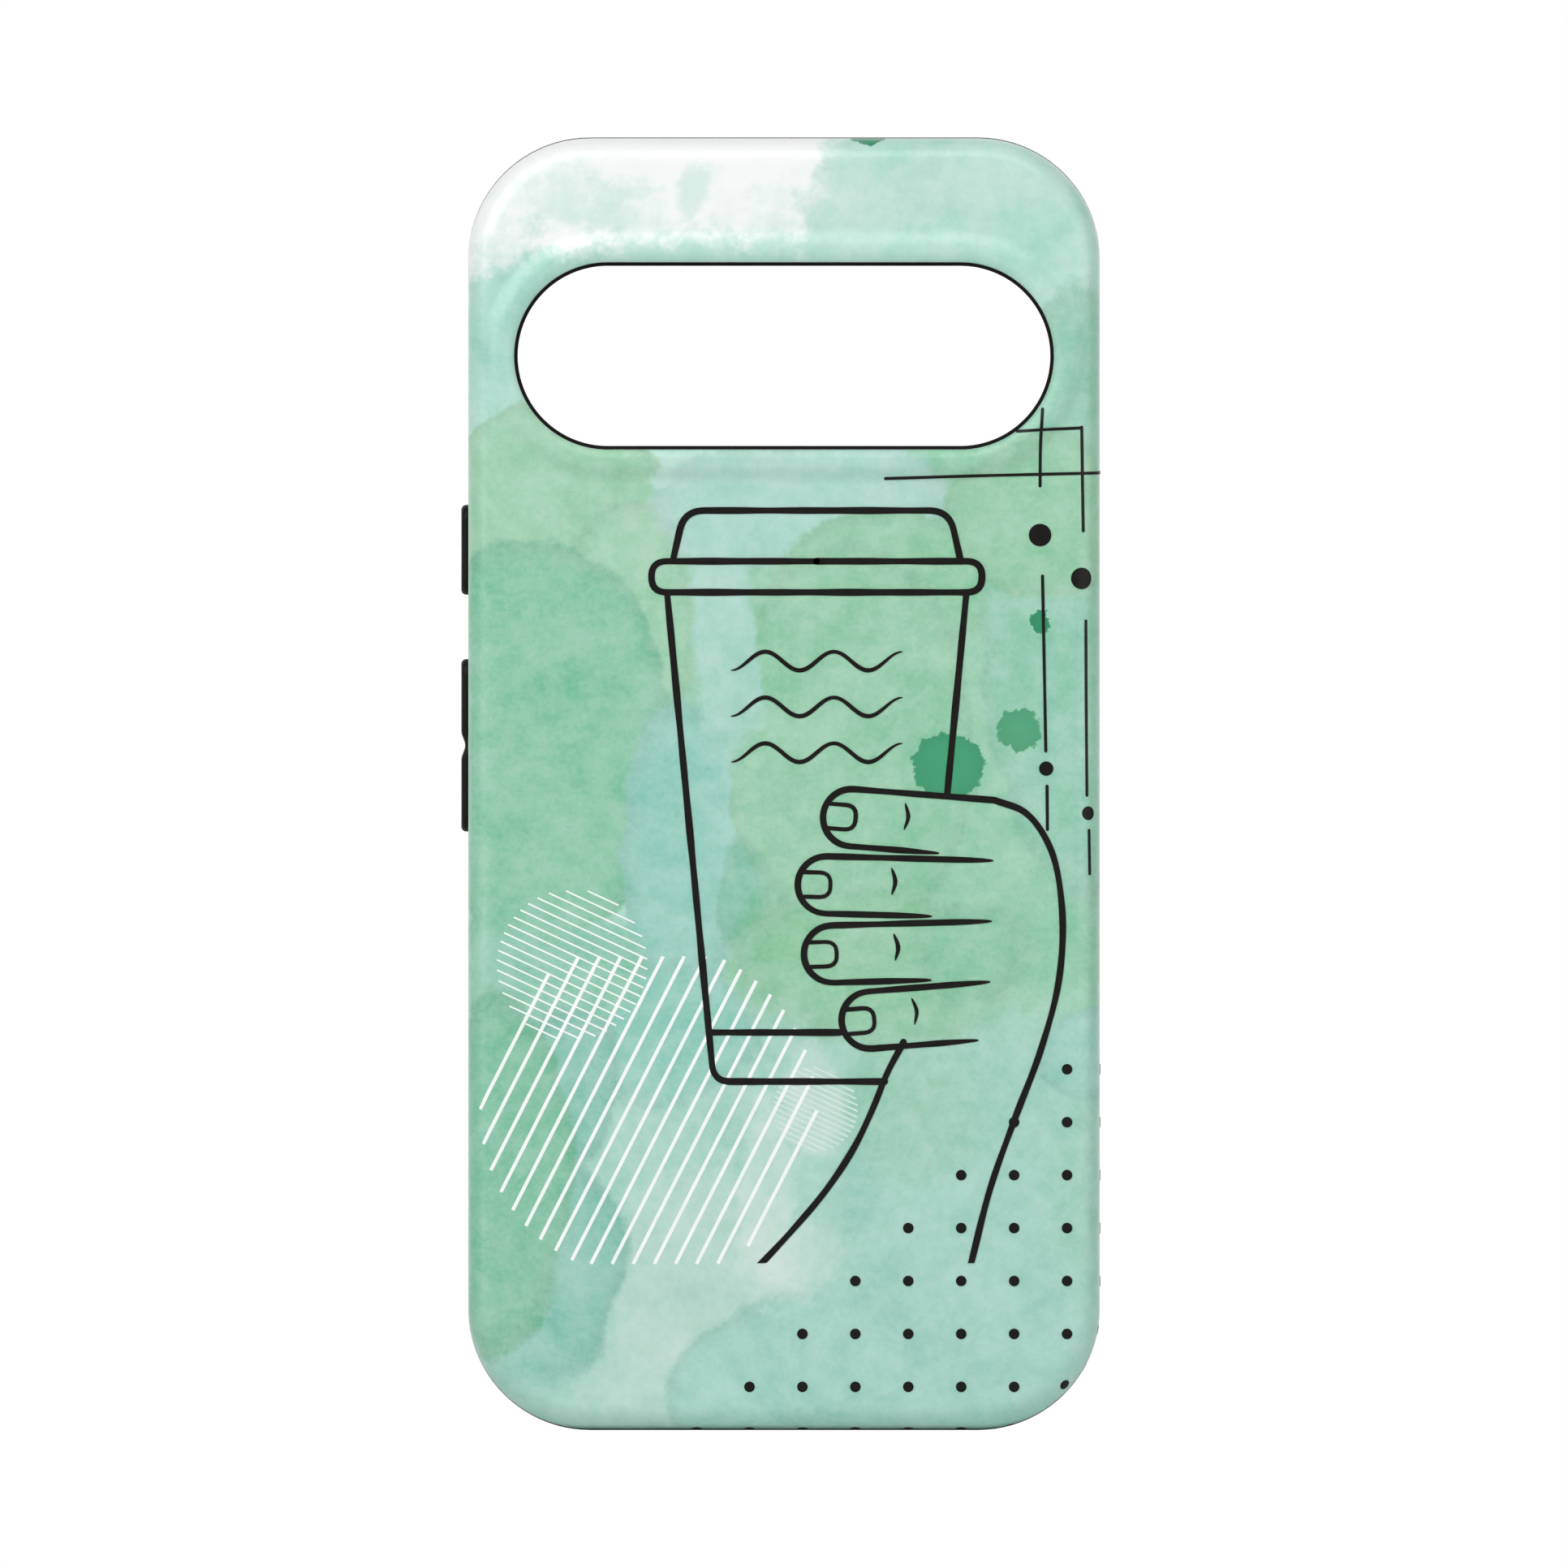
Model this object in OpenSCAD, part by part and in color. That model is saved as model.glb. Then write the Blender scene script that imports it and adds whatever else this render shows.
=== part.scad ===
// Two-layer phone case: a hard printed outer shell snapped over a soft inner liner.
// Every piece is drawn lying on its front rim, printed back up, and then stood upright,
// so the row has +Z along the case's length, the printed back at -Y and the open front at +Y.

/* [Phone] */
// Width of the phone that the case holds
phone_w = 72.0; // [68:0.1:80]
// Length of the phone
phone_h = 152.8; // [140:0.1:170]
// Thickness of the phone
phone_t = 8.5; // [8:0.1:10]
// Corner radius of the phone's outline
phone_r = 12.3; // [8:0.1:14]

/* [Layers] */
// Clearance between the phone and the liner
phone_gap = 0.1; // [0.05:0.05:0.2]
// Wall of the soft inner liner
liner_wall = 1.1; // [1:0.05:1.4]
// Clearance between the liner and the shell
layer_gap = 0.1; // [0.05:0.05:0.15]
// Wall of the hard outer shell
shell_wall = 1.3; // [1.1:0.05:1.6]
// Rounding of the shell's back edge
back_round = 3.2; // [2.4:0.1:3.6]
// How far the liner's rim stands out past the shell at the top and bottom
rim_step = 0.1; // [0:0.05:0.15]

/* [Front rim] */
// Height of the rim over the phone's screen
rim_over_screen = 1.0; // [0.8:0.1:1.4]
// How far the rim reaches in over the screen's edge
rim_reach = 1.4; // [1:0.1:2]
// Depth of the black rim seen from the side
rim_depth = 1.65; // [1.4:0.05:2.2]
// Rounding of the rim's outer front edge
rim_round = 0.5; // [0.3:0.1:0.7]

/* [Camera window] */
// Length of the camera window across the back
window_w = 66.0; // [60:0.1:68]
// Height of the camera window
window_h = 22.9; // [18:0.1:26]
// Distance from the window's middle down from the top of the case
window_drop = 26.7; // [24:0.1:34]
// Height of the raised lip round the window
lip_h = 0.8; // [0.6:0.1:1.0]
// Distance of the lip's crest from the window's edge
lip_crest = 1.7; // [1.4:0.1:1.8]
// Radius of the lip's round section
lip_curve = 2.6; // [2.2:0.1:3]
// How far the liner shows inside the window's edge
window_inset = 0.35; // [0.2:0.05:0.5]

/* [Buttons] */
// Height of the power button's middle over the base
power_z = 107.6; // [100:0.1:118]
// Length of the power button cover
power_len = 11.0; // [9:0.1:13]
// Height of the volume button's middle over the base
volume_z = 83.7; // [78:0.1:88]
// Length of the volume button cover
volume_len = 21.1; // [18:0.1:24]
// Width of a button cover from back to front
cover_w = 4.4; // [3.8:0.1:5]
// How far a button cover stands out of the shell
cover_proud = 0.85; // [0.6:0.05:1]
// Rounding of a button cover's outer edge
cover_round = 0.6; // [0.3:0.1:0.8]
// Groove round a button cover
groove = 0.5; // [0.4:0.05:0.6]
// Thickness of the flexible web round a button cover
web_t = 0.4; // [0.3:0.05:0.5]
// Depth of the waist in the middle of the volume cover
waist_depth = 0.45; // [0.3:0.05:0.6]
// Length of the waist along the cover
waist_len = 3.0; // [2.4:0.1:4]

/* [Openings in the ends] */
// Width of the charging port's cut-out
port_w = 12.0; // [11:0.1:14]
// Height of the charging port's cut-out
port_h = 6.4; // [6:0.1:6.6]
// Length of a speaker slot
speaker_w = 10.0; // [8:0.1:12]
// Height of a speaker slot
speaker_h = 3.0; // [2.4:0.1:3.4]
// Distance of a speaker slot's middle from the port's middle
speaker_x = 16.0; // [15:0.1:18]
// Radius of the microphone hole in the top
mic_r = 1.1; // [0.8:0.1:1.4]
// Distance of the microphone hole from the middle
mic_x = 12.0; // [0:0.5:18]

/* [Hidden] */
$fn = 96;

// Outlines, from the phone outwards
pocket_w = phone_w + 2 * phone_gap;
pocket_h = phone_h + 2 * phone_gap;
pocket_r = phone_r + phone_gap;
liner_w = pocket_w + 2 * liner_wall;
liner_h = pocket_h + 2 * liner_wall - 2 * rim_step;
liner_r = pocket_r + liner_wall;
cavity_w = liner_w + 2 * layer_gap;
cavity_h = liner_h + 2 * layer_gap;
cavity_r = liner_r + layer_gap;
case_w = cavity_w + 2 * shell_wall;
shell_h = cavity_h + 2 * shell_wall;
case_h = shell_h + 2 * rim_step;
case_r = cavity_r + shell_wall;

// Heights over the middle of the case's depth, while it lies on its rim with its back up
back_t = shell_wall + layer_gap + liner_wall;
case_d = back_t + phone_t + rim_over_screen + lip_h;
lip_z = case_d / 2;
back_z = lip_z - lip_h;
rim_z = -case_d / 2;
cavity_z = back_z - shell_wall;
liner_z = cavity_z - layer_gap;
pocket_z = liner_z - liner_wall;
screen_z = rim_z + rim_over_screen;
shoulder_z = rim_z + rim_depth;
shell_edge_z = shoulder_z + layer_gap;
phone_mid_z = (pocket_z + screen_z) / 2;

// Depths of the button covers, measured from the case's middle plane to the left
cover_out = case_w / 2 + cover_proud;
cover_in = pocket_w / 2 + 0.5;
web_in = pocket_w / 2 + 0.7;
island_out = case_w / 2 - 0.15;
island_wall = 0.7;
cover_corner = 2.0;
past = 1;

window_y = case_h - window_drop;

// --- Outlines and blanks ---------------------------------------------------

// A flat outline with round corners, drawn about its own middle.
module round_outline(w, h, r) {
    square([w - 2 * r, h], center = true);
    square([w, h - 2 * r], center = true);
    for (sx = [-1, 1], sy = [-1, 1])
        translate([sx * (w / 2 - r), sy * (h / 2 - r)]) circle(r);
}

// The edge of a plate, from its corner's centre outwards, with its upper edge rounded by f.
module edge_profile(r, t, f) {
    square([r - f, t]);
    square([r, t - f]);
    translate([r - f, t - f]) circle(f);
}

// A plate from z0 to z1 with round corners and a rounded upper edge.
module rounded_plate(w, h, r, z0, z1, f) {
    t = z1 - z0;
    cx = w / 2 - r;
    cy = h / 2 - r;
    translate([0, 0, z0]) {
        translate([-cx, -cy, 0]) cube([2 * cx, 2 * cy, t]);
        for (k = [0, 1]) rotate(180 * k) {
            translate([cx, cy, 0]) rotate([90, 0, 0]) linear_extrude(2 * cy) edge_profile(r, t, f);
            translate([-cx, cy, 0]) rotate([90, 0, 90]) linear_extrude(2 * cx) edge_profile(r, t, f);
            translate([cx, cy, 0]) rotate_extrude(angle = 90) edge_profile(r, t, f);
            translate([-cx, cy, 0]) rotate(90) rotate_extrude(angle = 90) edge_profile(r, t, f);
        }
    }
}

// A straight-walled block with round corners from z0 to z1.
module round_block(w, h, r, z0, z1) {
    translate([0, 0, z0]) linear_extrude(z1 - z0) round_outline(w, h, r);
}

// A long round-ended block through the wall of one end, w across and h deep.
module end_slot(x, w, h, y0, y1) {
    translate([x, y1, phone_mid_z]) rotate([90, 0, 0]) linear_extrude(y1 - y0) {
        square([w - h, h], center = true);
        for (s = [-1, 1]) translate([s * (w - h) / 2, 0]) circle(h / 2);
    }
}

// The camera window's outline, made smaller all round by inset.
module window_outline(inset) {
    span = window_w - window_h;
    r = window_h / 2 - inset;
    square([span, 2 * r], center = true);
    for (s = [-1, 1]) translate([s * span / 2, 0]) circle(r);
}

// Stands a piece that was drawn lying on its rim upright on its lower end.
module upright() {
    translate([0, 0, case_h / 2]) rotate([90, 0, 0]) children();
}

// Turns a block drawn face up so that it faces out of the left side at height z.
module on_left_side(z) {
    translate([0, z - case_h / 2, phone_mid_z]) rotate([0, -90, 0]) children();
}

// --- Openings shared by both layers ----------------------------------------

// The charging port, the two speaker slots and the microphone hole.
module end_openings() {
    deep = 5;
    end_slot(0, port_w, port_h, -case_h / 2 - past, -case_h / 2 + deep);
    for (s = [-1, 1])
        end_slot(s * speaker_x, speaker_w, speaker_h, -case_h / 2 - past, -case_h / 2 + deep);
    translate([mic_x, case_h / 2 + past, phone_mid_z])
        rotate([90, 0, 0]) cylinder(r = mic_r, h = deep + past);
}

// --- Outer shell -----------------------------------------------------------

// The lip's section: a low round ridge that falls away to the window's edge and to the back.
module lip_profile() {
    r = window_h / 2;
    sunk = 0.6;
    intersection() {
        translate([r + lip_crest, lip_h - lip_curve]) circle(lip_curve);
        translate([r, -sunk]) square([2 * lip_curve, sunk + lip_h]);
    }
}

// The raised lip that runs round the camera window.
module window_lip() {
    span = window_w - window_h;
    translate([0, window_y - case_h / 2, back_z]) for (k = [0, 1]) rotate(180 * k) {
        translate([span / 2, 0, 0]) rotate(-90) rotate_extrude(angle = 180) lip_profile();
        translate([-span / 2, 0, 0]) rotate([90, 0, 90]) linear_extrude(span) lip_profile();
    }
}

// The notch in the shell's left wall that clears a button, open to the shell's front edge.
module shell_notch(z, len) {
    h = len + 2 * (groove + island_wall + layer_gap);
    back = cover_w / 2 + groove + island_wall + layer_gap;
    front = phone_mid_z - rim_z;
    r = 1.6;
    on_left_side(z) translate([0, 0, case_w / 2 - 2 * shell_wall]) linear_extrude(3 * shell_wall) {
        translate([back - r, -h / 2 + r]) circle(r);
        translate([back - r, h / 2 - r]) circle(r);
        translate([-front, -h / 2]) square([front + back - r, h]);
        translate([0, -h / 2 + r]) square([back, h - 2 * r]);
    }
}

module outer_shell() {
    color([0.62, 0.84, 0.76]) upright() difference() {
        union() {
            rounded_plate(case_w, shell_h, case_r, shell_edge_z, back_z, back_round);
            window_lip();
        }
        rounded_plate(
            cavity_w, cavity_h, cavity_r, shell_edge_z - past, cavity_z, back_round - shell_wall
        );
        translate([0, window_y - case_h / 2, pocket_z]) linear_extrude(case_d) window_outline(0);
        end_openings();
        shell_notch(power_z, power_len);
        shell_notch(volume_z, volume_len);
    }
}

// --- Inner liner -----------------------------------------------------------

// The block of the liner that fills the shell's notch and carries a button cover.
module button_island(z, len) {
    h = len + 2 * (groove + island_wall);
    back = cover_w / 2 + groove + island_wall;
    front = phone_mid_z - shoulder_z + 0.4;
    r = 1.5;
    from = pocket_w / 2 + liner_wall / 2;
    on_left_side(z) translate([0, 0, from]) linear_extrude(island_out - from) {
        translate([back - r, -h / 2 + r]) circle(r);
        translate([back - r, h / 2 - r]) circle(r);
        translate([-front, -h / 2]) square([front + back - r, h]);
        translate([0, -h / 2 + r]) square([back, h - 2 * r]);
    }
}

// The well in the liner that a button cover and its web sit in.
module button_well(z, len) {
    on_left_side(z) round_block(
        cover_w + 2 * groove, len + 2 * groove, cover_corner + groove,
        pocket_w / 2 - past, cover_out
    );
}

module inner_liner() {
    color([0.07, 0.07, 0.07]) upright() difference() {
        union() {
            rounded_plate(
                liner_w, liner_h, liner_r, shoulder_z - 0.5, liner_z, back_round - shell_wall - layer_gap
            );
            mirror([0, 0, 1]) rounded_plate(case_w, case_h, case_r, -shoulder_z, -rim_z, rim_round);
            button_island(power_z, power_len);
            button_island(volume_z, volume_len);
        }
        rounded_plate(pocket_w, pocket_h, pocket_r, screen_z, pocket_z, 0.8);
        round_block(
            phone_w - 2 * rim_reach, phone_h - 2 * rim_reach, phone_r - rim_reach,
            rim_z - past, screen_z + past
        );
        translate([0, window_y - case_h / 2, pocket_z - past])
            linear_extrude(liner_wall + 2 * past) window_outline(window_inset);
        end_openings();
        button_well(power_z, power_len);
        button_well(volume_z, volume_len);
    }
}

// --- Button covers ---------------------------------------------------------

// A cover with a rounded outer face, from where it touches the phone's button outwards.
module cover_blank(z, len) {
    on_left_side(z) rounded_plate(cover_w, len, cover_corner, cover_in, cover_out, cover_round);
}

// The thin web that joins a cover to the liner's wall all round.
module cover_web(z, len) {
    on_left_side(z) difference() {
        round_block(
            cover_w + 2 * groove, len + 2 * groove, cover_corner + groove, web_in, web_in + web_t
        );
        round_block(cover_w, len, cover_corner, web_in - past, web_in + web_t + past);
    }
}

module power_button_cover() {
    color([0.06, 0.06, 0.06]) upright() cover_blank(power_z, power_len);
}

module volume_button_cover() {
    waist_r = (waist_len * waist_len / 4 + waist_depth * waist_depth) / (2 * waist_depth);
    color([0.06, 0.06, 0.06]) upright() difference() {
        cover_blank(volume_z, volume_len);
        translate([
            waist_depth - cover_out - waist_r,
            volume_z - case_h / 2,
            phone_mid_z - cover_w
        ]) cylinder(r = waist_r, h = 2 * cover_w);
    }
}

module power_button_web() {
    color([0.1, 0.1, 0.1]) upright() cover_web(power_z, power_len);
}

module volume_button_web() {
    color([0.1, 0.1, 0.1]) upright() cover_web(volume_z, volume_len);
}

outer_shell();
inner_liner();
power_button_cover();
volume_button_cover();
power_button_web();
volume_button_web();
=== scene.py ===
"""A two-layer phone case: hard printed shell, soft liner, button covers and their webs.

Sizes in the classes are millimetres and the meshes are metres. The frame is the case's own: +Z runs up
its length to the camera end, +Y out of the open front, -Y out of the printed back, buttons on the -X side.
"""

import logging
import math
from dataclasses import dataclass, field
from enum import Enum
from typing import Iterable

import bmesh
import bpy
import numpy as np
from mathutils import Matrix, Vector


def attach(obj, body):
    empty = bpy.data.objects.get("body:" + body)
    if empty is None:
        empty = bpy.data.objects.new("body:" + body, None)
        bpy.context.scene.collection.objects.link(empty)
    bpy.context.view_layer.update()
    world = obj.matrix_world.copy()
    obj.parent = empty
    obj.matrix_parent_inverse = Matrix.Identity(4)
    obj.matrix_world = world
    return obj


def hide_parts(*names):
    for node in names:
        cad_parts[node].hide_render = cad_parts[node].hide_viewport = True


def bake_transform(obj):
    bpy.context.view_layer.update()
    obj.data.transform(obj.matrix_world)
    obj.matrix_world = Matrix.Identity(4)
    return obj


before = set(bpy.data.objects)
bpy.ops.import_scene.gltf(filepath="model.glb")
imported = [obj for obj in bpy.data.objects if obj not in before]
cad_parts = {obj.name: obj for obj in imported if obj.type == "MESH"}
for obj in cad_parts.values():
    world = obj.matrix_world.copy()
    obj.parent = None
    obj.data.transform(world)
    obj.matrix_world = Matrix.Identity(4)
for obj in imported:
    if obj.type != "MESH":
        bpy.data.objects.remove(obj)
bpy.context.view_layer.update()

LOG = logging.getLogger("phone_case")
MM = 0.001
MIDDLE = 79.0
DEPTH_MIDDLE = 1.15
HAIR = 0.001
CUT_START = -35.0
Point = tuple[float, float]
Colour = tuple[float, float, float]


# --- Shader building ---------------------------------------------------------


class Val:
    """A value socket whose sums and products add Math nodes."""

    def __init__(self, shader: "Shader", socket: bpy.types.NodeSocket) -> None:
        """Keeps the socket and the shader that it belongs to."""
        self.shader, self.socket = shader, socket

    def _with(self, operation: str, first: object, second: object) -> "Val":
        """Returns the value of one Math node on two numbers or values."""
        return self.shader.math(operation, first, second)

    def __add__(self, other: object) -> "Val":
        """Returns the sum."""
        return self._with("ADD", self, other)

    def __radd__(self, other: object) -> "Val":
        """Returns the sum with a number in front."""
        return self._with("ADD", other, self)

    def __sub__(self, other: object) -> "Val":
        """Returns the difference."""
        return self._with("SUBTRACT", self, other)

    def __rsub__(self, other: object) -> "Val":
        """Returns the difference from a number in front."""
        return self._with("SUBTRACT", other, self)

    def __mul__(self, other: object) -> "Val":
        """Returns the product."""
        return self._with("MULTIPLY", self, other)

    def __rmul__(self, other: object) -> "Val":
        """Returns the product with a number in front."""
        return self._with("MULTIPLY", other, self)


class Shader:
    """The node tree of one material, with short ways to add to it."""

    def __init__(self, name: str) -> None:
        """Makes an empty material with its output node.

        Args:
            name: the material's name.
        """
        self.material = bpy.data.materials.new(name)
        self.material.use_nodes = True
        self.tree = self.material.node_tree
        self.tree.nodes.clear()
        self.output = self.node("ShaderNodeOutputMaterial", {}, {})

    def node(self, kind: str, settings: dict, sockets: dict) -> bpy.types.Node:
        """Adds a node, sets it up and fills or links its sockets.

        Args:
            kind: the node's type.
            settings: its settings, set first; "stops" holds a ramp's positions and colours.
            sockets: number, colour, Val or output socket for each input, by name or index.

        Returns:
            The new node.
        """
        made = self.tree.nodes.new(kind)
        for key, value in settings.items():
            if key == "stops":
                self._set_stops(made.color_ramp, value)
            else:
                setattr(made, key, value)
        for key, value in sockets.items():
            if isinstance(value, Val):
                value = value.socket
            if isinstance(value, bpy.types.NodeSocket):
                self.tree.links.new(value, made.inputs[key])
            else:
                made.inputs[key].default_value = value
        return made

    @staticmethod
    def _set_stops(ramp: bpy.types.ColorRamp, stops: list) -> None:
        """Gives a colour ramp its stops.

        Args:
            ramp: the ramp, with its first two stops.
            stops: pairs of a position and a colour.
        """
        while len(ramp.elements) < len(stops):
            ramp.elements.new(0.5)
        for element, (position, colour) in zip(ramp.elements, stops):
            element.position, element.color = position, (*colour, 1.0)

    def math(self, operation: str, first: object, second: object = 0.0) -> Val:
        """Returns the value of one Math node."""
        made = self.node("ShaderNodeMath", {"operation": operation}, {0: first, 1: second})
        return Val(self, made.outputs[0])

    def vector(self, operation: str, first: object, second: object = (0.0, 0.0, 0.0)) -> bpy.types.NodeSocket:
        """Returns the vector of one Vector Math node."""
        return self.node("ShaderNodeVectorMath", {"operation": operation}, {0: first, 1: second}).outputs[0]

    def scaled(self, vector: object, factor: object) -> bpy.types.NodeSocket:
        """Returns a vector times a number or value."""
        made = self.node("ShaderNodeVectorMath", {"operation": "SCALE"}, {0: vector, "Scale": factor})
        return made.outputs[0]

    def length(self, vector: object) -> Val:
        """Returns a vector's length."""
        made = self.node("ShaderNodeVectorMath", {"operation": "LENGTH"}, {0: vector})
        return Val(self, made.outputs["Value"])

    def ramp(self, value: object, start: float, end: float, low: float = 0.0, high: float = 1.0) -> Val:
        """Maps a value smoothly from one range to another.

        Args:
            value: the value that is mapped.
            start: where the result is low.
            end: where the result is high.
            low: the result at the start.
            high: the result at the end.

        Returns:
            The mapped value.
        """
        sockets = {"Value": value, 1: start, 2: end, 3: low, 4: high}
        made = self.node("ShaderNodeMapRange", {"interpolation_type": "SMOOTHSTEP"}, sockets)
        return Val(self, made.outputs[0])

    def mix(self, share: object, first: object, second: object, blend: str = "MIX") -> bpy.types.NodeSocket:
        """Mixes two colours.

        Args:
            share: how much of the second colour there is.
            first: the colour at a share of 0.
            second: the colour at a share of 1.
            blend: the Mix node's way of blending.

        Returns:
            The mixed colour.
        """
        colours = [(*c, 1.0) if isinstance(c, tuple) else c for c in (first, second)]
        settings = {"data_type": "RGBA", "blend_type": blend}
        return self.node("ShaderNodeMix", settings, {0: share, 6: colours[0], 7: colours[1]}).outputs[2]

    def place(self) -> bpy.types.NodeSocket:
        """Returns the surface's own coordinates, in millimetres."""
        return self.scaled(self.node("ShaderNodeTexCoord", {}, {}).outputs["Object"], 1.0 / MM)

    def noise(self, where: object, grain: float, detail: float = 2.0, rough: float = 0.5) -> bpy.types.Node:
        """Adds a noise whose features are about grain millimetres across.

        Args:
            where: coordinates in millimetres.
            grain: the size of its features.
            detail: how many finer layers it has.
            rough: how strong the finer layers are.

        Returns:
            The noise node.
        """
        sockets = {"Vector": where, "Scale": 1.0 / grain, "Detail": detail, "Roughness": rough}
        return self.node("ShaderNodeTexNoise", {}, sockets)

    def bump(self, height: object, strength: float, depth: float) -> bpy.types.NodeSocket:
        """Returns the normal of a surface with this relief, depth in millimetres."""
        sockets = {"Height": height, "Strength": strength, "Distance": depth * MM}
        return self.node("ShaderNodeBump", {}, sockets).outputs[0]

    def surface(self, sockets: dict) -> bpy.types.Material:
        """Ends the material in one Principled shader.

        Args:
            sockets: what its inputs hold.

        Returns:
            The finished material.
        """
        body = self.node("ShaderNodeBsdfPrincipled", {}, sockets)
        self.tree.links.new(body.outputs[0], self.output.inputs[0])
        return self.material


def shade(red: float, green: float, blue: float) -> Colour:
    """Turns a colour of 0 to 255 as a screen shows it into linear light.

    Args:
        red: the red part.
        green: the green part.
        blue: the blue part.

    Returns:
        The three linear parts, each 0 to 1.
    """
    parts = [c / 255.0 for c in (red, green, blue)]
    return tuple(c / 12.92 if c <= 0.04045 else ((c + 0.055) / 1.055) ** 2.4 for c in parts)


# --- Outlines and the printed surface ---------------------------------------


@dataclass(frozen=True)
class Outline:
    """A rectangle with round corners across the case's back, on the case's own middle."""

    width: float
    height: float
    radius: float

    def gap(self, x: np.ndarray, z: np.ndarray) -> np.ndarray:
        """Measures how far points lie outside the outline.

        Args:
            x: places across the case.
            z: places up the case.

        Returns:
            The distances, negative inside.
        """
        across = np.abs(x) - (self.width / 2 - self.radius)
        up = np.abs(z - MIDDLE) - (self.height / 2 - self.radius)
        outside = np.hypot(np.maximum(across, 0), np.maximum(up, 0))
        return outside + np.minimum(np.maximum(across, up), 0) - self.radius

    def inset(self, by: float) -> "Outline":
        """Returns the outline moved inwards all round."""
        return Outline(self.width - 2 * by, self.height - 2 * by, self.radius - by)

    def samples(self, run: float, turns: int) -> np.ndarray:
        """Returns points on the outline, a run apart on its sides and evenly round its corners."""
        sides = [max(2, round((s - 2 * self.radius) / run)) for s in (self.height, self.width)]
        return round_loop(self.width, self.height, self.radius, turns, sides) + (0.0, MIDDLE)


def round_loop(width: float, height: float, radius: float, turns: int, sides: list[int]) -> np.ndarray:
    """Draws a rectangle with round corners about the origin.

    Args:
        width: its size along the first axis.
        height: its size along the second axis.
        radius: the radius of its corners.
        turns: steps round each corner.
        sides: steps along the two upright sides, and along the two level ones.

    Returns:
        The points in order, without the first one again.
    """
    corners = [(1, 1), (-1, 1), (-1, -1), (1, -1)]
    points: list[Point] = []
    for k, (sx, sz) in enumerate(corners):
        middle = (sx * (width / 2 - radius), sz * (height / 2 - radius))
        angles = [math.pi / 2 * (k + i / turns) for i in range(turns + 1)]
        arc = [(middle[0] + radius * math.cos(a), middle[1] + radius * math.sin(a)) for a in angles]
        if points:
            points += between(points[-1], arc[0], sides[k % 2])
        points += arc
    return np.array(points + between(points[-1], points[0], sides[0]))


def between(start: Point, end: Point, steps: int) -> list[Point]:
    """Returns the points that cut a straight line into steps, without its ends."""
    return [tuple(np.add(start, np.subtract(end, start) * i / steps)) for i in range(1, steps)]


@dataclass(frozen=True)
class Window:
    """The round-ended camera window across the upper back."""

    width: float = 66.0
    height: float = 22.9
    middle: float = 131.3

    @property
    def radius(self) -> float:
        """The radius of its round ends."""
        return self.height / 2

    @property
    def run(self) -> float:
        """Half the length of its straight sides."""
        return self.width / 2 - self.radius

    def gap(self, x: np.ndarray, z: np.ndarray) -> np.ndarray:
        """Returns how far points lie outside the window's edge."""
        return np.hypot(np.maximum(np.abs(x) - self.run, 0), z - self.middle) - self.radius

    def samples(self, run: float, turns: int) -> np.ndarray:
        """Returns points on the window's edge, a run apart on its sides."""
        loop = round_loop(self.width, self.height, self.radius - HAIR, turns, [1, round(2 * self.run / run)])
        return loop + (0.0, self.middle)


@dataclass(frozen=True)
class BackSurface:
    """The printed outside of the shell: flat back, round edge, and the lip round the window."""

    window: Window = Window()
    outline: Outline = Outline(77.2, 157.8, 14.9)
    plane: float = -5.6
    edge: float = 3.2
    lip_height: float = 0.8
    lip_crest: float = 1.7
    lip_foot: float = 4.3
    lip_fall: float = 0.65

    def lip(self, gap: np.ndarray) -> np.ndarray:
        """Works out how far the lip stands out of the back.

        Args:
            gap: distances outside the window's edge.

        Returns:
            The heights over the flat back.
        """
        inner = self.lip_height - self.lip_fall * ((self.lip_crest - gap) / self.lip_crest) ** 2
        share = np.clip((gap - self.lip_crest) / (self.lip_foot - self.lip_crest), 0, 1)
        outer = self.lip_height * (0.5 + 0.5 * np.cos(math.pi * share))
        return np.where(gap < self.lip_crest, inner, outer)

    def depth(self, x: np.ndarray, z: np.ndarray) -> np.ndarray:
        """Finds the outside surface over points of the back.

        Args:
            x: places across the case.
            z: places up the case.

        Returns:
            The surface's place along Y.
        """
        inside = np.clip(-self.outline.gap(x, z), 0, self.edge)
        drop = self.edge - np.sqrt(np.maximum(self.edge**2 - (self.edge - inside) ** 2, 0))
        return self.plane + drop - self.lip(self.window.gap(x, z))

    def wrap(self, print_x: np.ndarray, print_z: np.ndarray, lift: float | np.ndarray) -> np.ndarray:
        """Lays points of the flat print on the case, round its edges too.

        Args:
            print_x: places across the flat print.
            print_z: places up the flat print.
            lift: how far each point stands off the surface.

        Returns:
            The points in space.
        """
        flat = self.outline.inset(self.edge)
        half = np.array([flat.width / 2 - flat.radius, flat.height / 2 - flat.radius])
        place = np.stack([print_x, print_z - MIDDLE], -1)
        core = np.clip(place, -half, half)
        away = place - core
        reach = np.linalg.norm(away, axis=-1)
        out = away / np.maximum(reach, 1e-9)[..., None]
        past = np.maximum(reach - flat.radius, 0)
        angle = np.minimum(past / self.edge, math.pi / 2)
        level = np.minimum(reach, flat.radius) + (self.edge + lift) * np.sin(angle)
        down = self.edge * (1 - np.cos(angle)) - lift * np.cos(angle) + past - angle * self.edge
        spot = core + out * level[..., None]
        x, z = spot[..., 0], spot[..., 1] + MIDDLE
        return np.stack([x, self.plane + down - self.lip(np.maximum(self.window.gap(x, z), 0.1)), z], -1)


# --- Mesh building -----------------------------------------------------------


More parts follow.
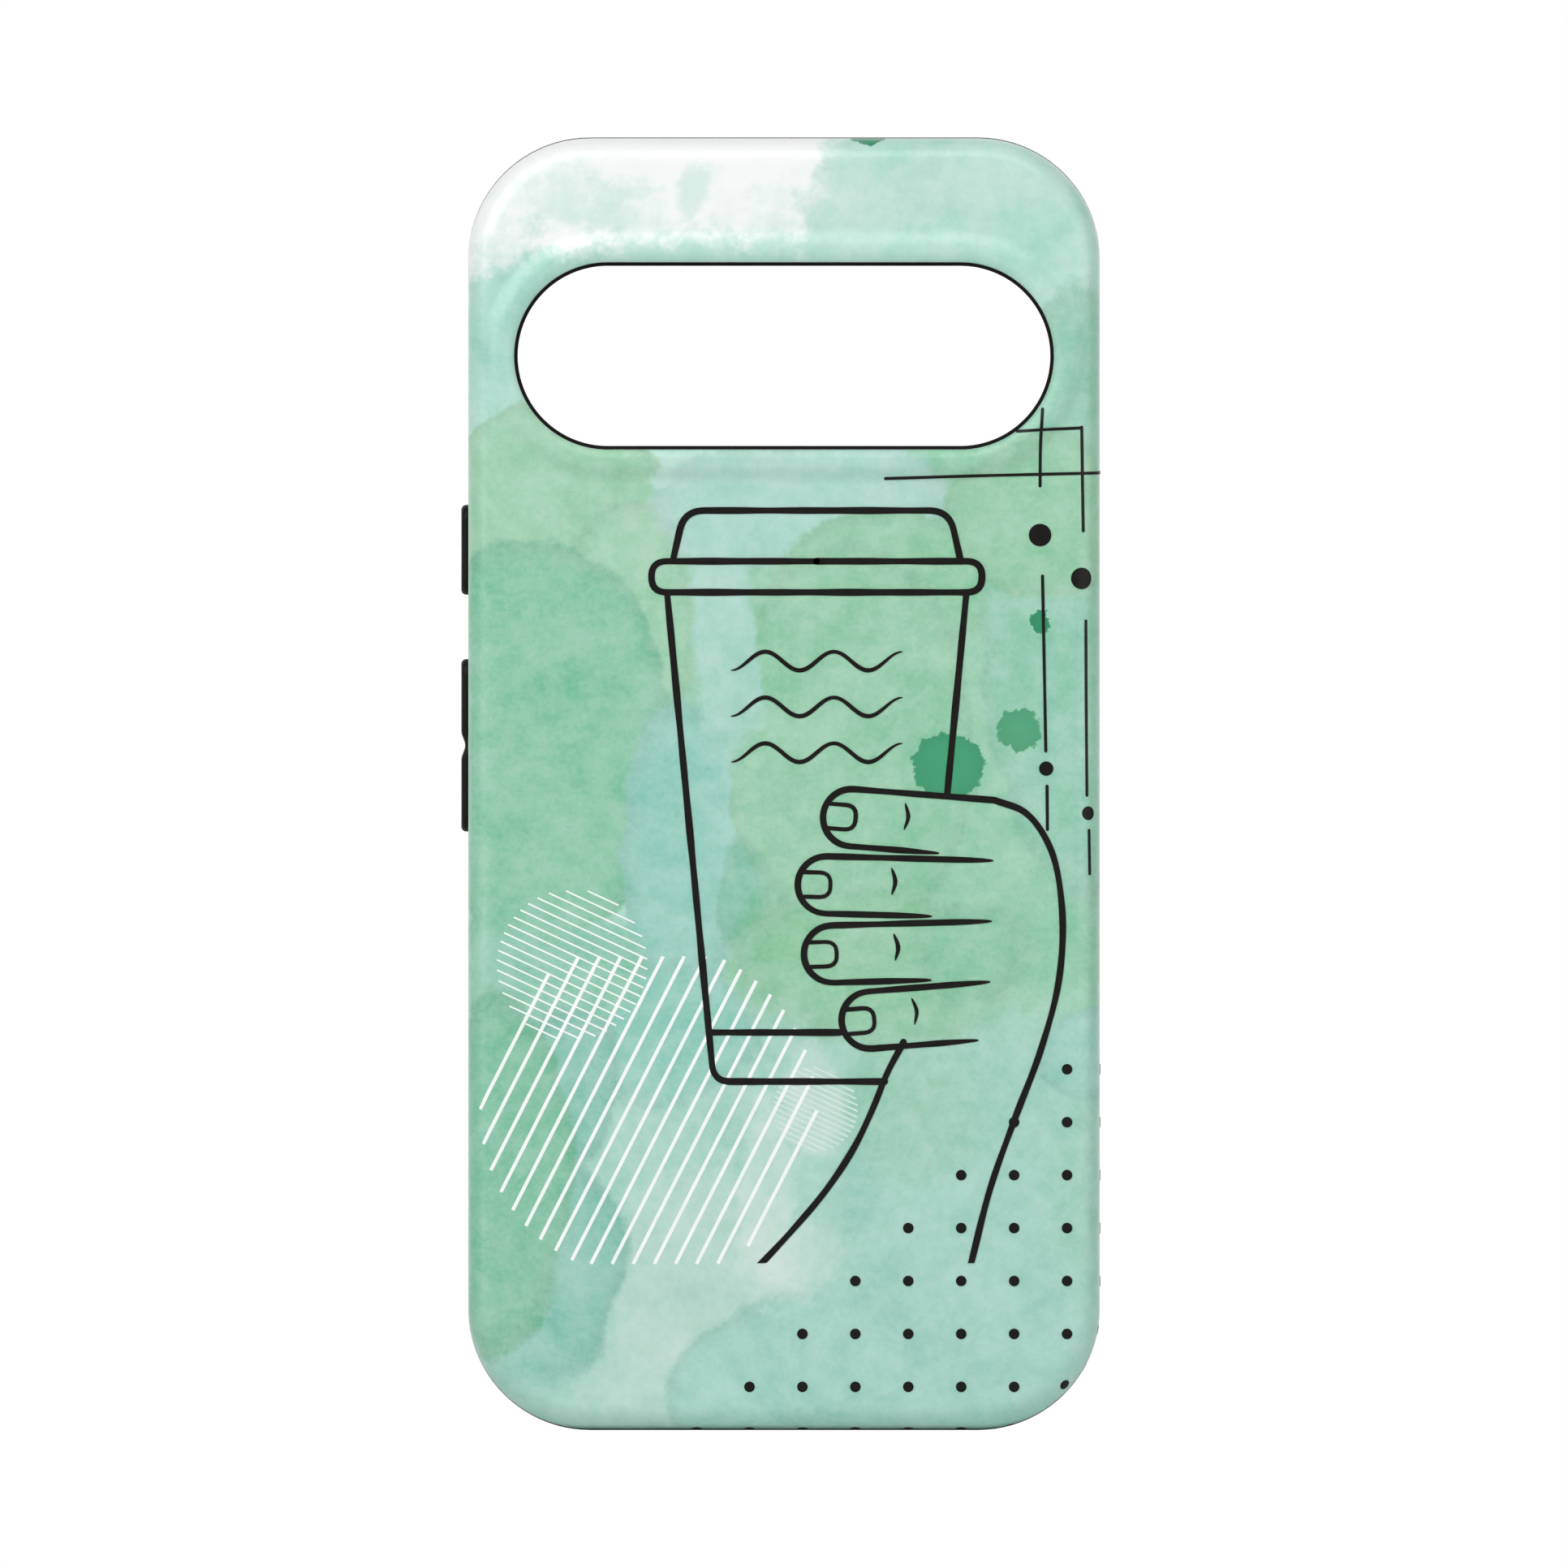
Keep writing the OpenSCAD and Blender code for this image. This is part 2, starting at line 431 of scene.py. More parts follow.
class Body:
    """Points, faces and finishes of a mesh in the making."""

    def __init__(self) -> None:
        """Starts with nothing."""
        self.points: list[np.ndarray] = []
        self.faces: list[tuple[int, ...]] = []
        self.finishes: list[int] = []
        self.count = 0

    def add(self, points: np.ndarray, faces: list[tuple[int, ...]], finish: int = 0) -> None:
        """Adds a group of points and its faces.

        Args:
            points: the points, in millimetres.
            faces: the faces, counted from the group's first point.
            finish: which of the object's materials they have.
        """
        self.points.append(np.asarray(points, float).reshape(-1, 3))
        self.faces += [tuple(i + self.count for i in face) for face in faces]
        self.finishes += [finish] * len(faces)
        self.count += len(self.points[-1])

    def loft(self, rings: list[np.ndarray], ends: bool, finishes: list[int] | None = None) -> None:
        """Joins rings of equal length by bands of four-sided faces.

        Args:
            rings: the rings in order.
            ends: True closes the first and last ring with a face each, False joins them to each other.
            finishes: each band's material, where they differ.
        """
        size, count = len(rings[0]), len(rings)
        base = self.count
        self.add(np.concatenate(rings), [])
        for k in range(count - ends):
            low, high = base + k * size, base + (k + 1) % count * size
            for i in range(size):
                j = (i + 1) % size
                self.faces.append((low + i, low + j, high + j, high + i))
                self.finishes.append(finishes[k] if finishes else 0)
        if ends:
            self.faces += [tuple(range(base, base + size)), tuple(range(self.count - size, self.count))]
            self.finishes += [0, 0]

    def make(self, name: str, materials: list[bpy.types.Material], sharp: float = 35.0) -> bpy.types.Object:
        """Makes the object, with clean normals and smooth faces.

        Args:
            name: the object's name.
            materials: its materials.
            sharp: edges that turn by more than this angle stay crisp.

        Returns:
            The new object.
        """
        mesh = bpy.data.meshes.new(name)
        mesh.from_pydata((np.concatenate(self.points) * MM).tolist(), [], self.faces)
        mesh.polygons.foreach_set("material_index", self.finishes)
        for material in materials:
            mesh.materials.append(material)
        tidy_mesh(mesh, sharp)
        made = bpy.data.objects.new(name, mesh)
        bpy.context.scene.collection.objects.link(made)
        return made


def tidy_mesh(mesh: bpy.types.Mesh, sharp: float) -> None:
    """Welds doubled points, turns the faces outwards and smooths all but the crisp edges.

    Args:
        mesh: the mesh.
        sharp: the angle in degrees from which an edge is crisp.
    """
    work = bmesh.new()
    work.from_mesh(mesh)
    bmesh.ops.remove_doubles(work, verts=work.verts, dist=0.002 * MM)
    bmesh.ops.dissolve_degenerate(work, edges=work.edges, dist=0.0005 * MM)
    bmesh.ops.recalc_face_normals(work, faces=work.faces)
    work.to_mesh(mesh)
    work.free()
    mesh.polygons.foreach_set("use_smooth", [True] * len(mesh.polygons))
    mesh.set_sharp_from_angle(angle=math.radians(sharp))


class Cut(Enum):
    """Ways to combine two solids."""

    AWAY = "DIFFERENCE"
    JOIN = "UNION"


def combine(target: bpy.types.Object, tool: bpy.types.Object, way: Cut) -> None:
    """Cuts a solid by another or joins the two, and removes the tool.

    Args:
        target: the solid that is changed.
        tool: the solid that cuts it or joins it.
        way: whether it cuts or joins.
    """
    change = target.modifiers.new("combine", "BOOLEAN")
    change.operation, change.object, change.solver = way.value, tool, "EXACT"
    graph = bpy.context.evaluated_depsgraph_get()
    mesh = bpy.data.meshes.new_from_object(target.evaluated_get(graph), depsgraph=graph)
    target.modifiers.remove(change)
    old, target.data = target.data, mesh
    mesh.name = target.name
    bpy.data.meshes.remove(old)
    bpy.data.objects.remove(tool)
    tidy_mesh(mesh, 35.0)


def even_shading(piece: bpy.types.Object) -> None:
    """Lets the large flat faces lead the shading where they meet small rounded ones."""
    piece.modifiers.new("even shading", "WEIGHTED_NORMAL").keep_sharp = True


@dataclass(frozen=True)
class Opening:
    """A round-cornered hole square through a wall, with its outer edge rounded over."""

    long: float
    deep: float
    radius: float
    along: float
    across: float = DEPTH_MIDDLE

    def rings(self, stations: list[Point], wall: "Wall", turns: int = 8) -> list[np.ndarray]:
        """Draws the hole's section at several depths.

        Args:
            stations: pairs of a depth and how much wider the section is there.
            wall: the wall that it goes through.
            turns: steps round each corner.

        Returns:
            One ring for each station.
        """
        made = []
        for depth, grow in stations:
            size = (self.long + 2 * grow, self.deep + 2 * grow)
            loop = round_loop(*size, self.radius + grow - HAIR, turns, [2, 2]) + (self.along, self.across)
            level = np.full(len(loop), depth)
            order = [level, loop[:, 1], loop[:, 0]] if wall is Wall.SIDE else [loop[:, 0], loop[:, 1], level]
            made.append(np.stack(order, -1))
        return made


class Wall(Enum):
    """The walls that have openings."""

    SIDE = "left side"
    END = "upper or lower end"


def flare(inner: float, outer: float, radius: float) -> list[Point]:
    """Lists the depths and growths of a hole whose outer edge is rounded over.

    Args:
        inner: where the hole starts, inside the wall.
        outer: where the wall's outer face is.
        radius: the radius of the rounded edge.

    Returns:
        Pairs of a depth and a growth.
    """
    way = math.copysign(1.0, outer - inner)
    turn = [math.radians(a) for a in (0, 22.5, 45, 67.5, 90)]
    edge = [(outer - way * radius * (1 - math.sin(a)), radius * (1 - math.cos(a))) for a in turn]
    return [(inner, 0.0), *edge, (outer + way * 1.5, radius)]


class Spokes:
    """Straight lines square out of the camera window, on which every ring of the two layers lies."""

    def __init__(self, window: Window, outline: Outline) -> None:
        """Draws the lines through points of the window's edge and of the case's edge.

        Args:
            window: the camera window.
            outline: the outermost outline.
        """
        self.window = window
        marks = np.concatenate([outline.samples(4.0, 22), window.samples(4.0, 26)])
        start = np.clip(marks[:, 0], -window.run, window.run)
        away = marks - np.stack([start, np.full(len(marks), window.middle)], -1)
        angle = np.arctan2(away[:, 1], away[:, 0])
        angle = np.where(angle < -math.pi / 2 - 1e-9, angle + 2 * math.pi, angle)
        top = np.abs(angle - math.pi / 2) < 1e-6
        shift = np.where(top, window.run - start, 0) + np.where(angle > math.pi / 2 + 1e-6, 2 * window.run, 0)
        low = (np.abs(angle + math.pi / 2) < 1e-6) & (start < window.run - 1e-9)
        angle = np.where(low, 1.5 * math.pi, angle)
        shift = np.where(low, 3 * window.run + start, shift)
        order = np.argsort(angle * 10 + shift)
        self.start = np.stack([start, np.full(len(marks), window.middle)], -1)[order]
        self.way = (away / np.linalg.norm(away, axis=1)[:, None])[order]
        self._thin(outline)

    def _thin(self, outline: Outline) -> None:
        """Drops lines that run close beside the one before.

        Args:
            outline: the outermost outline.
        """
        inner, outer = self.out(0.0), self.at(self.reach(outline))
        keep = [0]
        for i in range(1, len(inner)):
            near = max(math.dist(inner[i], inner[keep[-1]]), math.dist(outer[i], outer[keep[-1]]))
            if near > 0.75:
                keep.append(i)
        self.start, self.way = self.start[keep], self.way[keep]

    def at(self, reach: np.ndarray) -> np.ndarray:
        """Returns each line's point at its own distance from the window's middle line."""
        return self.start + self.way * np.asarray(reach)[:, None]

    def out(self, gap: float | np.ndarray) -> np.ndarray:
        """Returns each line's point at a distance outside the window's edge."""
        return self.at(np.zeros(len(self.start)) + self.window.radius + gap)

    def reach(self, outline: Outline) -> np.ndarray:
        """Finds where each line crosses an outline.

        Args:
            outline: the outline.

        Returns:
            The distances along the lines.
        """
        low, high = np.zeros(len(self.start)), np.full(len(self.start), 200.0)
        for _ in range(48):
            half = (low + high) / 2
            spot = self.at(half)
            inside = outline.gap(spot[:, 0], spot[:, 1]) < 0
            low, high = np.where(inside, half, low), np.where(inside, high, half)
        return low

    def ring(self, outline: Outline, depth: float) -> np.ndarray:
        """Returns the ring of an outline at one depth."""
        return level_ring(self.at(self.reach(outline)), depth)


def level_ring(spots: np.ndarray, depth: float | np.ndarray) -> np.ndarray:
    """Returns points of the back at a depth along Y."""
    return np.stack([spots[:, 0], np.zeros(len(spots)) + depth, spots[:, 1]], -1)


def quarter(steps: int) -> list[Point]:
    """Returns the sine and cosine of steps over a quarter turn, without its start."""
    return [(math.sin(a), math.cos(a)) for a in (math.pi / 2 * i / steps for i in range(1, steps + 1))]


# --- Finishes ----------------------------------------------------------------


@dataclass(frozen=True)
class Wash:
    """One pool of thinned paint: where it lies, how large it is and how it dried."""

    at: Point
    half: Point
    colour: Colour
    strength: float = 1.0
    turn: float = 0.0
    soft: float = 0.05
    rim: float = 0.12


@dataclass(frozen=True)
class PrintedGloss:
    """Hard white plastic with a watercolour wash printed in it, under a clear gloss."""

    back: BackSurface = BackSurface()
    paper: Colour = shade(250, 251, 251)
    washes: tuple[Wash, ...] = ()
    drops: tuple[Wash, ...] = ()

    def _print_place(self, make: Shader) -> bpy.types.NodeSocket:
        """Unrolls the shell's surface into the flat print, in nodes.

        Args:
            make: the material in the making.

        Returns:
            Coordinates on the flat print in millimetres, with no third part.
        """
        outline, radius = self.back.outline, self.back.edge
        place = make.node("ShaderNodeSeparateXYZ", {}, {0: make.place()})
        x, y, z = (Val(make, place.outputs[i]) for i in range(3))
        half = (outline.width / 2 - outline.radius, outline.height / 2 - outline.radius)
        out = []
        for side, size in ((x, half[0]), (z - MIDDLE, half[1])):
            sign = make.math("SIGN", side)
            out.append(make.math("MAXIMUM", make.math("ABSOLUTE", side) - size, 0.0) * sign)
        away = make.node("ShaderNodeCombineXYZ", {}, {0: out[0], 1: out[1], 2: 0.0}).outputs[0]
        fall = make.math("MAXIMUM", y - self.back.plane, 0.0)
        turned = make.math("MINIMUM", fall, radius)
        arc = radius * make.math("ARCCOSINE", 1.0 - turned * (1 / radius))
        level = make.math("SQRT", turned * (2 * radius - turned))
        extra = arc - level + make.math("MAXIMUM", fall - radius, 0.0)
        flat = make.node("ShaderNodeCombineXYZ", {}, {0: x, 1: z, 2: 0.0}).outputs[0]
        return make.vector("ADD", flat, make.scaled(make.vector("NORMALIZE", away), extra))

    @staticmethod
    def _warped(make: Shader, place: object, layers: tuple[tuple[float, float, float], ...]) -> object:
        """Bends the print's coordinates, so that pools have ragged outlines.

        Args:
            make: the material in the making.
            place: the print's coordinates.
            layers: the size of the noise, how far it pushes, and its detail.

        Returns:
            The bent coordinates.
        """
        for grain, push, detail in layers:
            noise = make.noise(place, grain, detail, 0.6).outputs["Color"]
            shift = make.scaled(make.vector("SUBTRACT", noise, (0.5, 0.5, 0.5)), 2 * push)
            place = make.vector("ADD", place, make.vector("MULTIPLY", shift, (1.0, 1.0, 0.0)))
        return place

    @staticmethod
    def _lay(make: Shader, place: object, grain: Val, under: object, wash: Wash) -> tuple[object, Val]:
        """Lays one pool of paint over what is there.

        Args:
            make: the material in the making.
            place: the bent coordinates.
            grain: how the paper's grain draws the paint outwards or inwards.
            under: the colour so far.
            wash: the pool.

        Returns:
            The new colour and where the pool lies.
        """
        sockets = {0: place, 1: (*wash.at, 0.0), 2: (0.0, 0.0, math.radians(wash.turn)), 3: (*wash.half, 1.0)}
        away = make.length(make.node("ShaderNodeMapping", {"vector_type": "TEXTURE"}, sockets).outputs[0])
        soft = 10 * wash.soft / min(wash.half)
        mask = make.ramp(away + grain * (3.8 * soft), 1 + 0.8 * soft, 1 - 0.8 * soft, 0.0, wash.strength)
        dried = tuple(c * (1 - wash.rim) for c in wash.colour)
        edge = make.ramp(away, 1 - 2.2 / min(wash.half), 1.0)
        return make.mix(mask, under, make.mix(edge, wash.colour, dried)), mask

    @staticmethod
    def _settled(make: Shader, place: object, colour: object, wet: Val) -> object:
        """Lets the pigment settle unevenly, in clouds and in the paper's grain.

        Args:
            make: the material in the making.
            place: the print's coordinates.
            colour: the colour so far.
            wet: where there is paint.

        Returns:
            The new colour.
        """
        clouds = make.ramp(make.noise(place, 11.0, 5.0, 0.62).outputs[0], 0.32, 0.68)
        deeper = make.mix(1.0, colour, shade(190, 232, 214), "MULTIPLY")
        colour = make.mix((1.0 - clouds) * wet * 0.2, colour, deeper)
        colour = make.mix(clouds * 0.16, colour, shade(224, 238, 231))
        blooms = make.ramp(make.noise(place, 3.0, 6.0, 0.7).outputs[0], 0.36, 0.64)
        deeper = make.mix(1.0, colour, shade(205, 235, 222), "MULTIPLY")
        colour = make.mix((1.0 - blooms) * (0.06 + wet * 0.16), colour, deeper)
        colour = make.mix(blooms * wet * 0.12, colour, shade(226, 238, 233))
        grain = make.ramp(make.noise(place, 0.7, 3.0, 0.65).outputs[0], 0.3, 0.7, 0.0, 0.09)
        return make.mix(grain, colour, shade(232, 240, 236))

    def dress(self) -> bpy.types.Material:
        """Makes the printed material.

        Returns:
            The material.
        """
        make = Shader("printed gloss plastic")
        place = self._print_place(make)
        bent = self._warped(make, place, ((16.0, 3.2, 1.0), (4.5, 1.0, 4.0)))
        grain = Val(make, make.noise(place, 3.2, 7.0, 0.72).outputs[0]) - 0.5
        colour, masks = self.paper, []
        for wash in self.washes:
            colour, mask = self._lay(make, bent, grain, colour, wash)
            masks.append(mask)
        wet = make.math("MAXIMUM", masks[0], masks[1])
        colour = self._settled(make, place, colour, wet)
        torn = self._warped(make, place, ((1.7, 1.4, 5.0), (0.6, 0.55, 2.0)))
        for drop in self.drops:
            colour, _ = self._lay(make, torn, grain, colour, drop)
        satin = make.noise(place, 5.0, 3.0).outputs[0]
        ripple = make.noise(make.place(), 3.0, 1.0).outputs[0]
        return make.surface({
            "Base Color": colour,
            "Roughness": make.ramp(satin, 0.3, 0.7, 0.34, 0.42),
            "Coat Weight": make.ramp(satin, 0.3, 0.7, 0.75, 0.85),
            "Coat Roughness": 0.22,
            "Coat IOR": 1.5,
            "Specular IOR Level": 0.15,
            "Normal": make.bump(ripple, 0.05, 0.05),
        })


@dataclass(frozen=True)
class MouldedPlastic:
    """Bare moulded plastic: the shell's inside and the faces of its cut-outs."""

    name: str = "bare moulded plastic"
    colour: Colour = shade(232, 234, 232)
    shadow: Colour = shade(214, 218, 215)
    rough: float = 0.45

    def dress(self) -> bpy.types.Material:
        """Makes the material.

        Returns:
            The material.
        """
        make = Shader(self.name)
        place = make.place()
        flow = make.ramp(make.noise(place, 12.0, 3.0).outputs[0], 0.3, 0.7)
        spark = make.noise(place, 0.25, 2.0).outputs[0]
        return make.surface({
            "Base Color": make.mix(flow, self.colour, self.shadow),
            "Roughness": make.ramp(spark, 0.3, 0.7, self.rough - 0.06, self.rough + 0.06),
            "Normal": make.bump(spark, 0.15, 0.03),
        })


@dataclass(frozen=True)
class MouldedRubber:
    """Satin black thermoplastic rubber, fine-grained from its mould and a little greyer where handled."""

    name: str
    colour: Colour = shade(12, 12, 12)
    worn: Colour = shade(22, 21, 21)
    rough: float = 0.5
    grain: float = 0.22
    relief: float = 0.02

    def dress(self) -> bpy.types.Material:
        """Makes the material.

        Returns:
            The material.
        """
        make = Shader(self.name)
        place = make.place()
        handled = make.ramp(make.noise(place, 7.0, 4.0, 0.6).outputs[0], 0.35, 0.75)
        pits = make.noise(place, self.grain, 2.0).outputs[0]
        return make.surface({
            "Base Color": make.mix(handled, self.colour, self.worn),
            "Roughness": make.ramp(handled, 0.0, 1.0, self.rough + 0.05, self.rough - 0.05),
            "Specular IOR Level": 0.16,
            "Normal": make.bump(pits, 0.25, self.relief),
        })


@dataclass(frozen=True)
class PrintedInk:
    """Printed ink under the same clear gloss as the print, a little thinner in places."""

    name: str
    colour: Colour
    thin: Colour

    def dress(self) -> bpy.types.Material:
        """Makes the material.

        Returns:
            The material.
        """
        make = Shader(self.name)
        place = make.place()
        load = make.ramp(make.noise(place, 2.5, 4.0, 0.65).outputs[0], 0.3, 0.75)
        return make.surface({
            "Base Color": make.mix(load, self.colour, self.thin),
            "Roughness": make.ramp(load, 0.0, 1.0, 0.4, 0.48),
            "Coat Weight": make.ramp(load, 0.0, 1.0, 0.2, 0.12),
            "Coat Roughness": 0.25,
            "Specular IOR Level": 0.08,
        })


GREEN = shade(153, 208, 172)
DEEP_GREEN = shade(123, 197, 161)
LEAF = shade(116, 193, 158)
MINT = shade(174, 222, 208)
AQUA = shade(142, 206, 192)
TEAL = shade(129, 197, 181)
PALE = shade(172, 217, 206)
MILKY = shade(206, 226, 219)
SOFT_MINT = shade(164, 213, 199)

WASHES = (
    Wash((0, 58), (100, 88), shade(180, 225, 212), soft=0.25, rim=0.03),
    Wash((33, 142), (30, 33), shade(177, 223, 210), soft=0.25, rim=0.03),
    Wash((9, 150), (8, 4.5), shade(222, 234, 229), 0.4, soft=0.35, rim=0.0),
    Wash((24, 153), (9, 4), shade(206, 230, 221), 0.5, soft=0.3, rim=0.0),
    Wash((-25.5, 149.5), (6, 3.5), MINT, 0.42, soft=0.4, rim=0.0),
    Wash((-19, 147), (5, 3.5), MINT, 0.36, soft=0.38, rim=0.0),
    Wash((-10.3, 151.5), (1.9, 3.4), MINT, 0.45, turn=-14, soft=0.1, rim=0.0),
    Wash((0, 147), (5, 4), MINT, 0.3, soft=0.35, rim=0.0),
    Wash((20, 84), (40, 48), shade(135, 202, 165), 0.9, soft=0.5, rim=0.0),
    Wash((-34, 133), (7, 11), AQUA, 0.5, soft=0.4, rim=0.0),
    Wash((-29, 112), (15, 14), GREEN),
    Wash((-19, 99), (8.5, 15), GREEN, soft=0.06),
    Wash((-31, 84), (17.5, 24), DEEP_GREEN),
    Wash((-12, 71), (8.5, 18), AQUA),
    Wash((2, 113), (19, 8), PALE, soft=0.1),
    Wash((14, 104), (15, 8), shade(140, 203, 162), 0.9),
    Wash((8, 83), (15, 25), shade(140, 203, 165), 0.88),
    Wash((-7.2, 98), (4.0, 16), PALE, 0.9, soft=0.08, rim=0.0),
    Wash((-5, 65), (2.8, 7), LEAF, 0.6),
    Wash((37, 103), (14, 37), shade(138, 203, 175), 0.9),
    Wash((31, 112), (11.5, 10), shade(143, 204, 164), 0.9),
    Wash((3, 18), (70, 34), SOFT_MINT, 0.95, soft=0.5, rim=0.0),
    Wash((30, 12), (30, 26), shade(163, 213, 200), 0.9, soft=0.9, rim=0.0),
    Wash((12, 57), (17, 9), shade(137, 201, 158), 0.88, soft=0.2),
    Wash((15, 40), (8, 9), shade(140, 202, 170), 0.7, soft=0.35, rim=0.0),
    Wash((40, 32), (7, 20), shade(146, 206, 184), 0.7, soft=0.3, rim=0.0),
    Wash((23, 59), (7, 6), DEEP_GREEN, 0.8, soft=0.15),
    Wash((37, 46), (5.5, 6), AQUA, 0.9),
    Wash((-14, 49), (10, 9), shade(140, 205, 191), soft=0.15),
    Wash((-10, 19), (11, 12), MILKY, 0.5, soft=0.35, rim=0.0),
    Wash((-16, 7), (8, 7), MILKY, 0.45, soft=0.3, rim=0.0),
    Wash((-30, 57), (13, 9), shade(130, 199, 168), 0.9, soft=0.14, rim=0.0),
    Wash((-26, 43), (6.5, 10), TEAL, soft=0.07),
    Wash((-27.5, 20), (7.5, 14), TEAL, soft=0.07),
    Wash((-38, 9), (13, 6), shade(150, 206, 193), 0.8, soft=0.2, rim=0.0),
    Wash((-35, 32), (9, 23), LEAF),
    Wash((3, 1.5), (17, 15), shade(160, 212, 199)),
    Wash((20, 4), (20, 20), shade(162, 212, 200), 0.9, soft=0.7, rim=0.0),
    Wash((-2, 28), (3.6, 11), shade(216, 233, 227), 0.55, soft=0.12, rim=0.0),
    Wash((0.0, 21), (6.5, 5.5), shade(219, 234, 229), 0.6, soft=0.22, rim=0.0),
    Wash((3.4, 40.5), (4.0, 6.6), shade(212, 231, 225), 0.72, soft=0.16, rim=0.0),
    Wash((9, 30), (2.6, 6), AQUA, 0.5, soft=0.25),
)
DROPS = (
    Wash((-15, 116.3), (1.7, 1.2), shade(190, 226, 216), 0.8, rim=0.0),
    Wash((31.3, 98.8), (1.3, 1.3), shade(38, 145, 100), 0.95, soft=0.015, rim=0.1),
    Wash((28.9, 85.6), (2.6, 2.6), shade(78, 166, 122), 0.95, soft=0.02, rim=0.1),
    Wash((20.1, 81.2), (4.4, 4.0), shade(58, 158, 112), 0.95, soft=0.02, rim=0.1),
    Wash((10.3, 159.6), (2.1, 2.2), shade(38, 145, 105), 0.97, soft=0.02, rim=0.1),
)


# --- The two layers ----------------------------------------------------------


@dataclass(frozen=True)
class ButtonPlace:
    """One button: how high it is and how long its cover is."""

    name: str
    height: float
    length: float
    waist: float = 0.0


BUTTONS = (ButtonPlace("power_button", 107.6, 11.0), ButtonPlace("volume_button", 83.7, 21.1, 0.45))
END_OPENINGS = (Opening(12.0, 6.4, 3.2, 0.0), Opening(10.0, 3.0, 1.5, -16.0), Opening(10.0, 3.0, 1.5, 16.0))
MIC = Opening(2.2, 2.2, 1.1, 12.0)


def end_cutters(body: Body, top: float, bottom: float, deep: float, radius: float) -> None:
    """Adds the cutters of the port, the speaker slots and the microphone hole.

    Args:
        body: the mesh that takes them.
        top: where the upper end's outer face is.
        bottom: where the lower end's outer face is.
        deep: how far in they reach.
        radius: the rounding of their outer edges.
    """
    for opening in END_OPENINGS:
        body.loft(opening.rings(flare(bottom + deep, bottom, radius), Wall.END), ends=True)
    body.loft(MIC.rings(flare(top - deep, top, radius), Wall.END), ends=True)


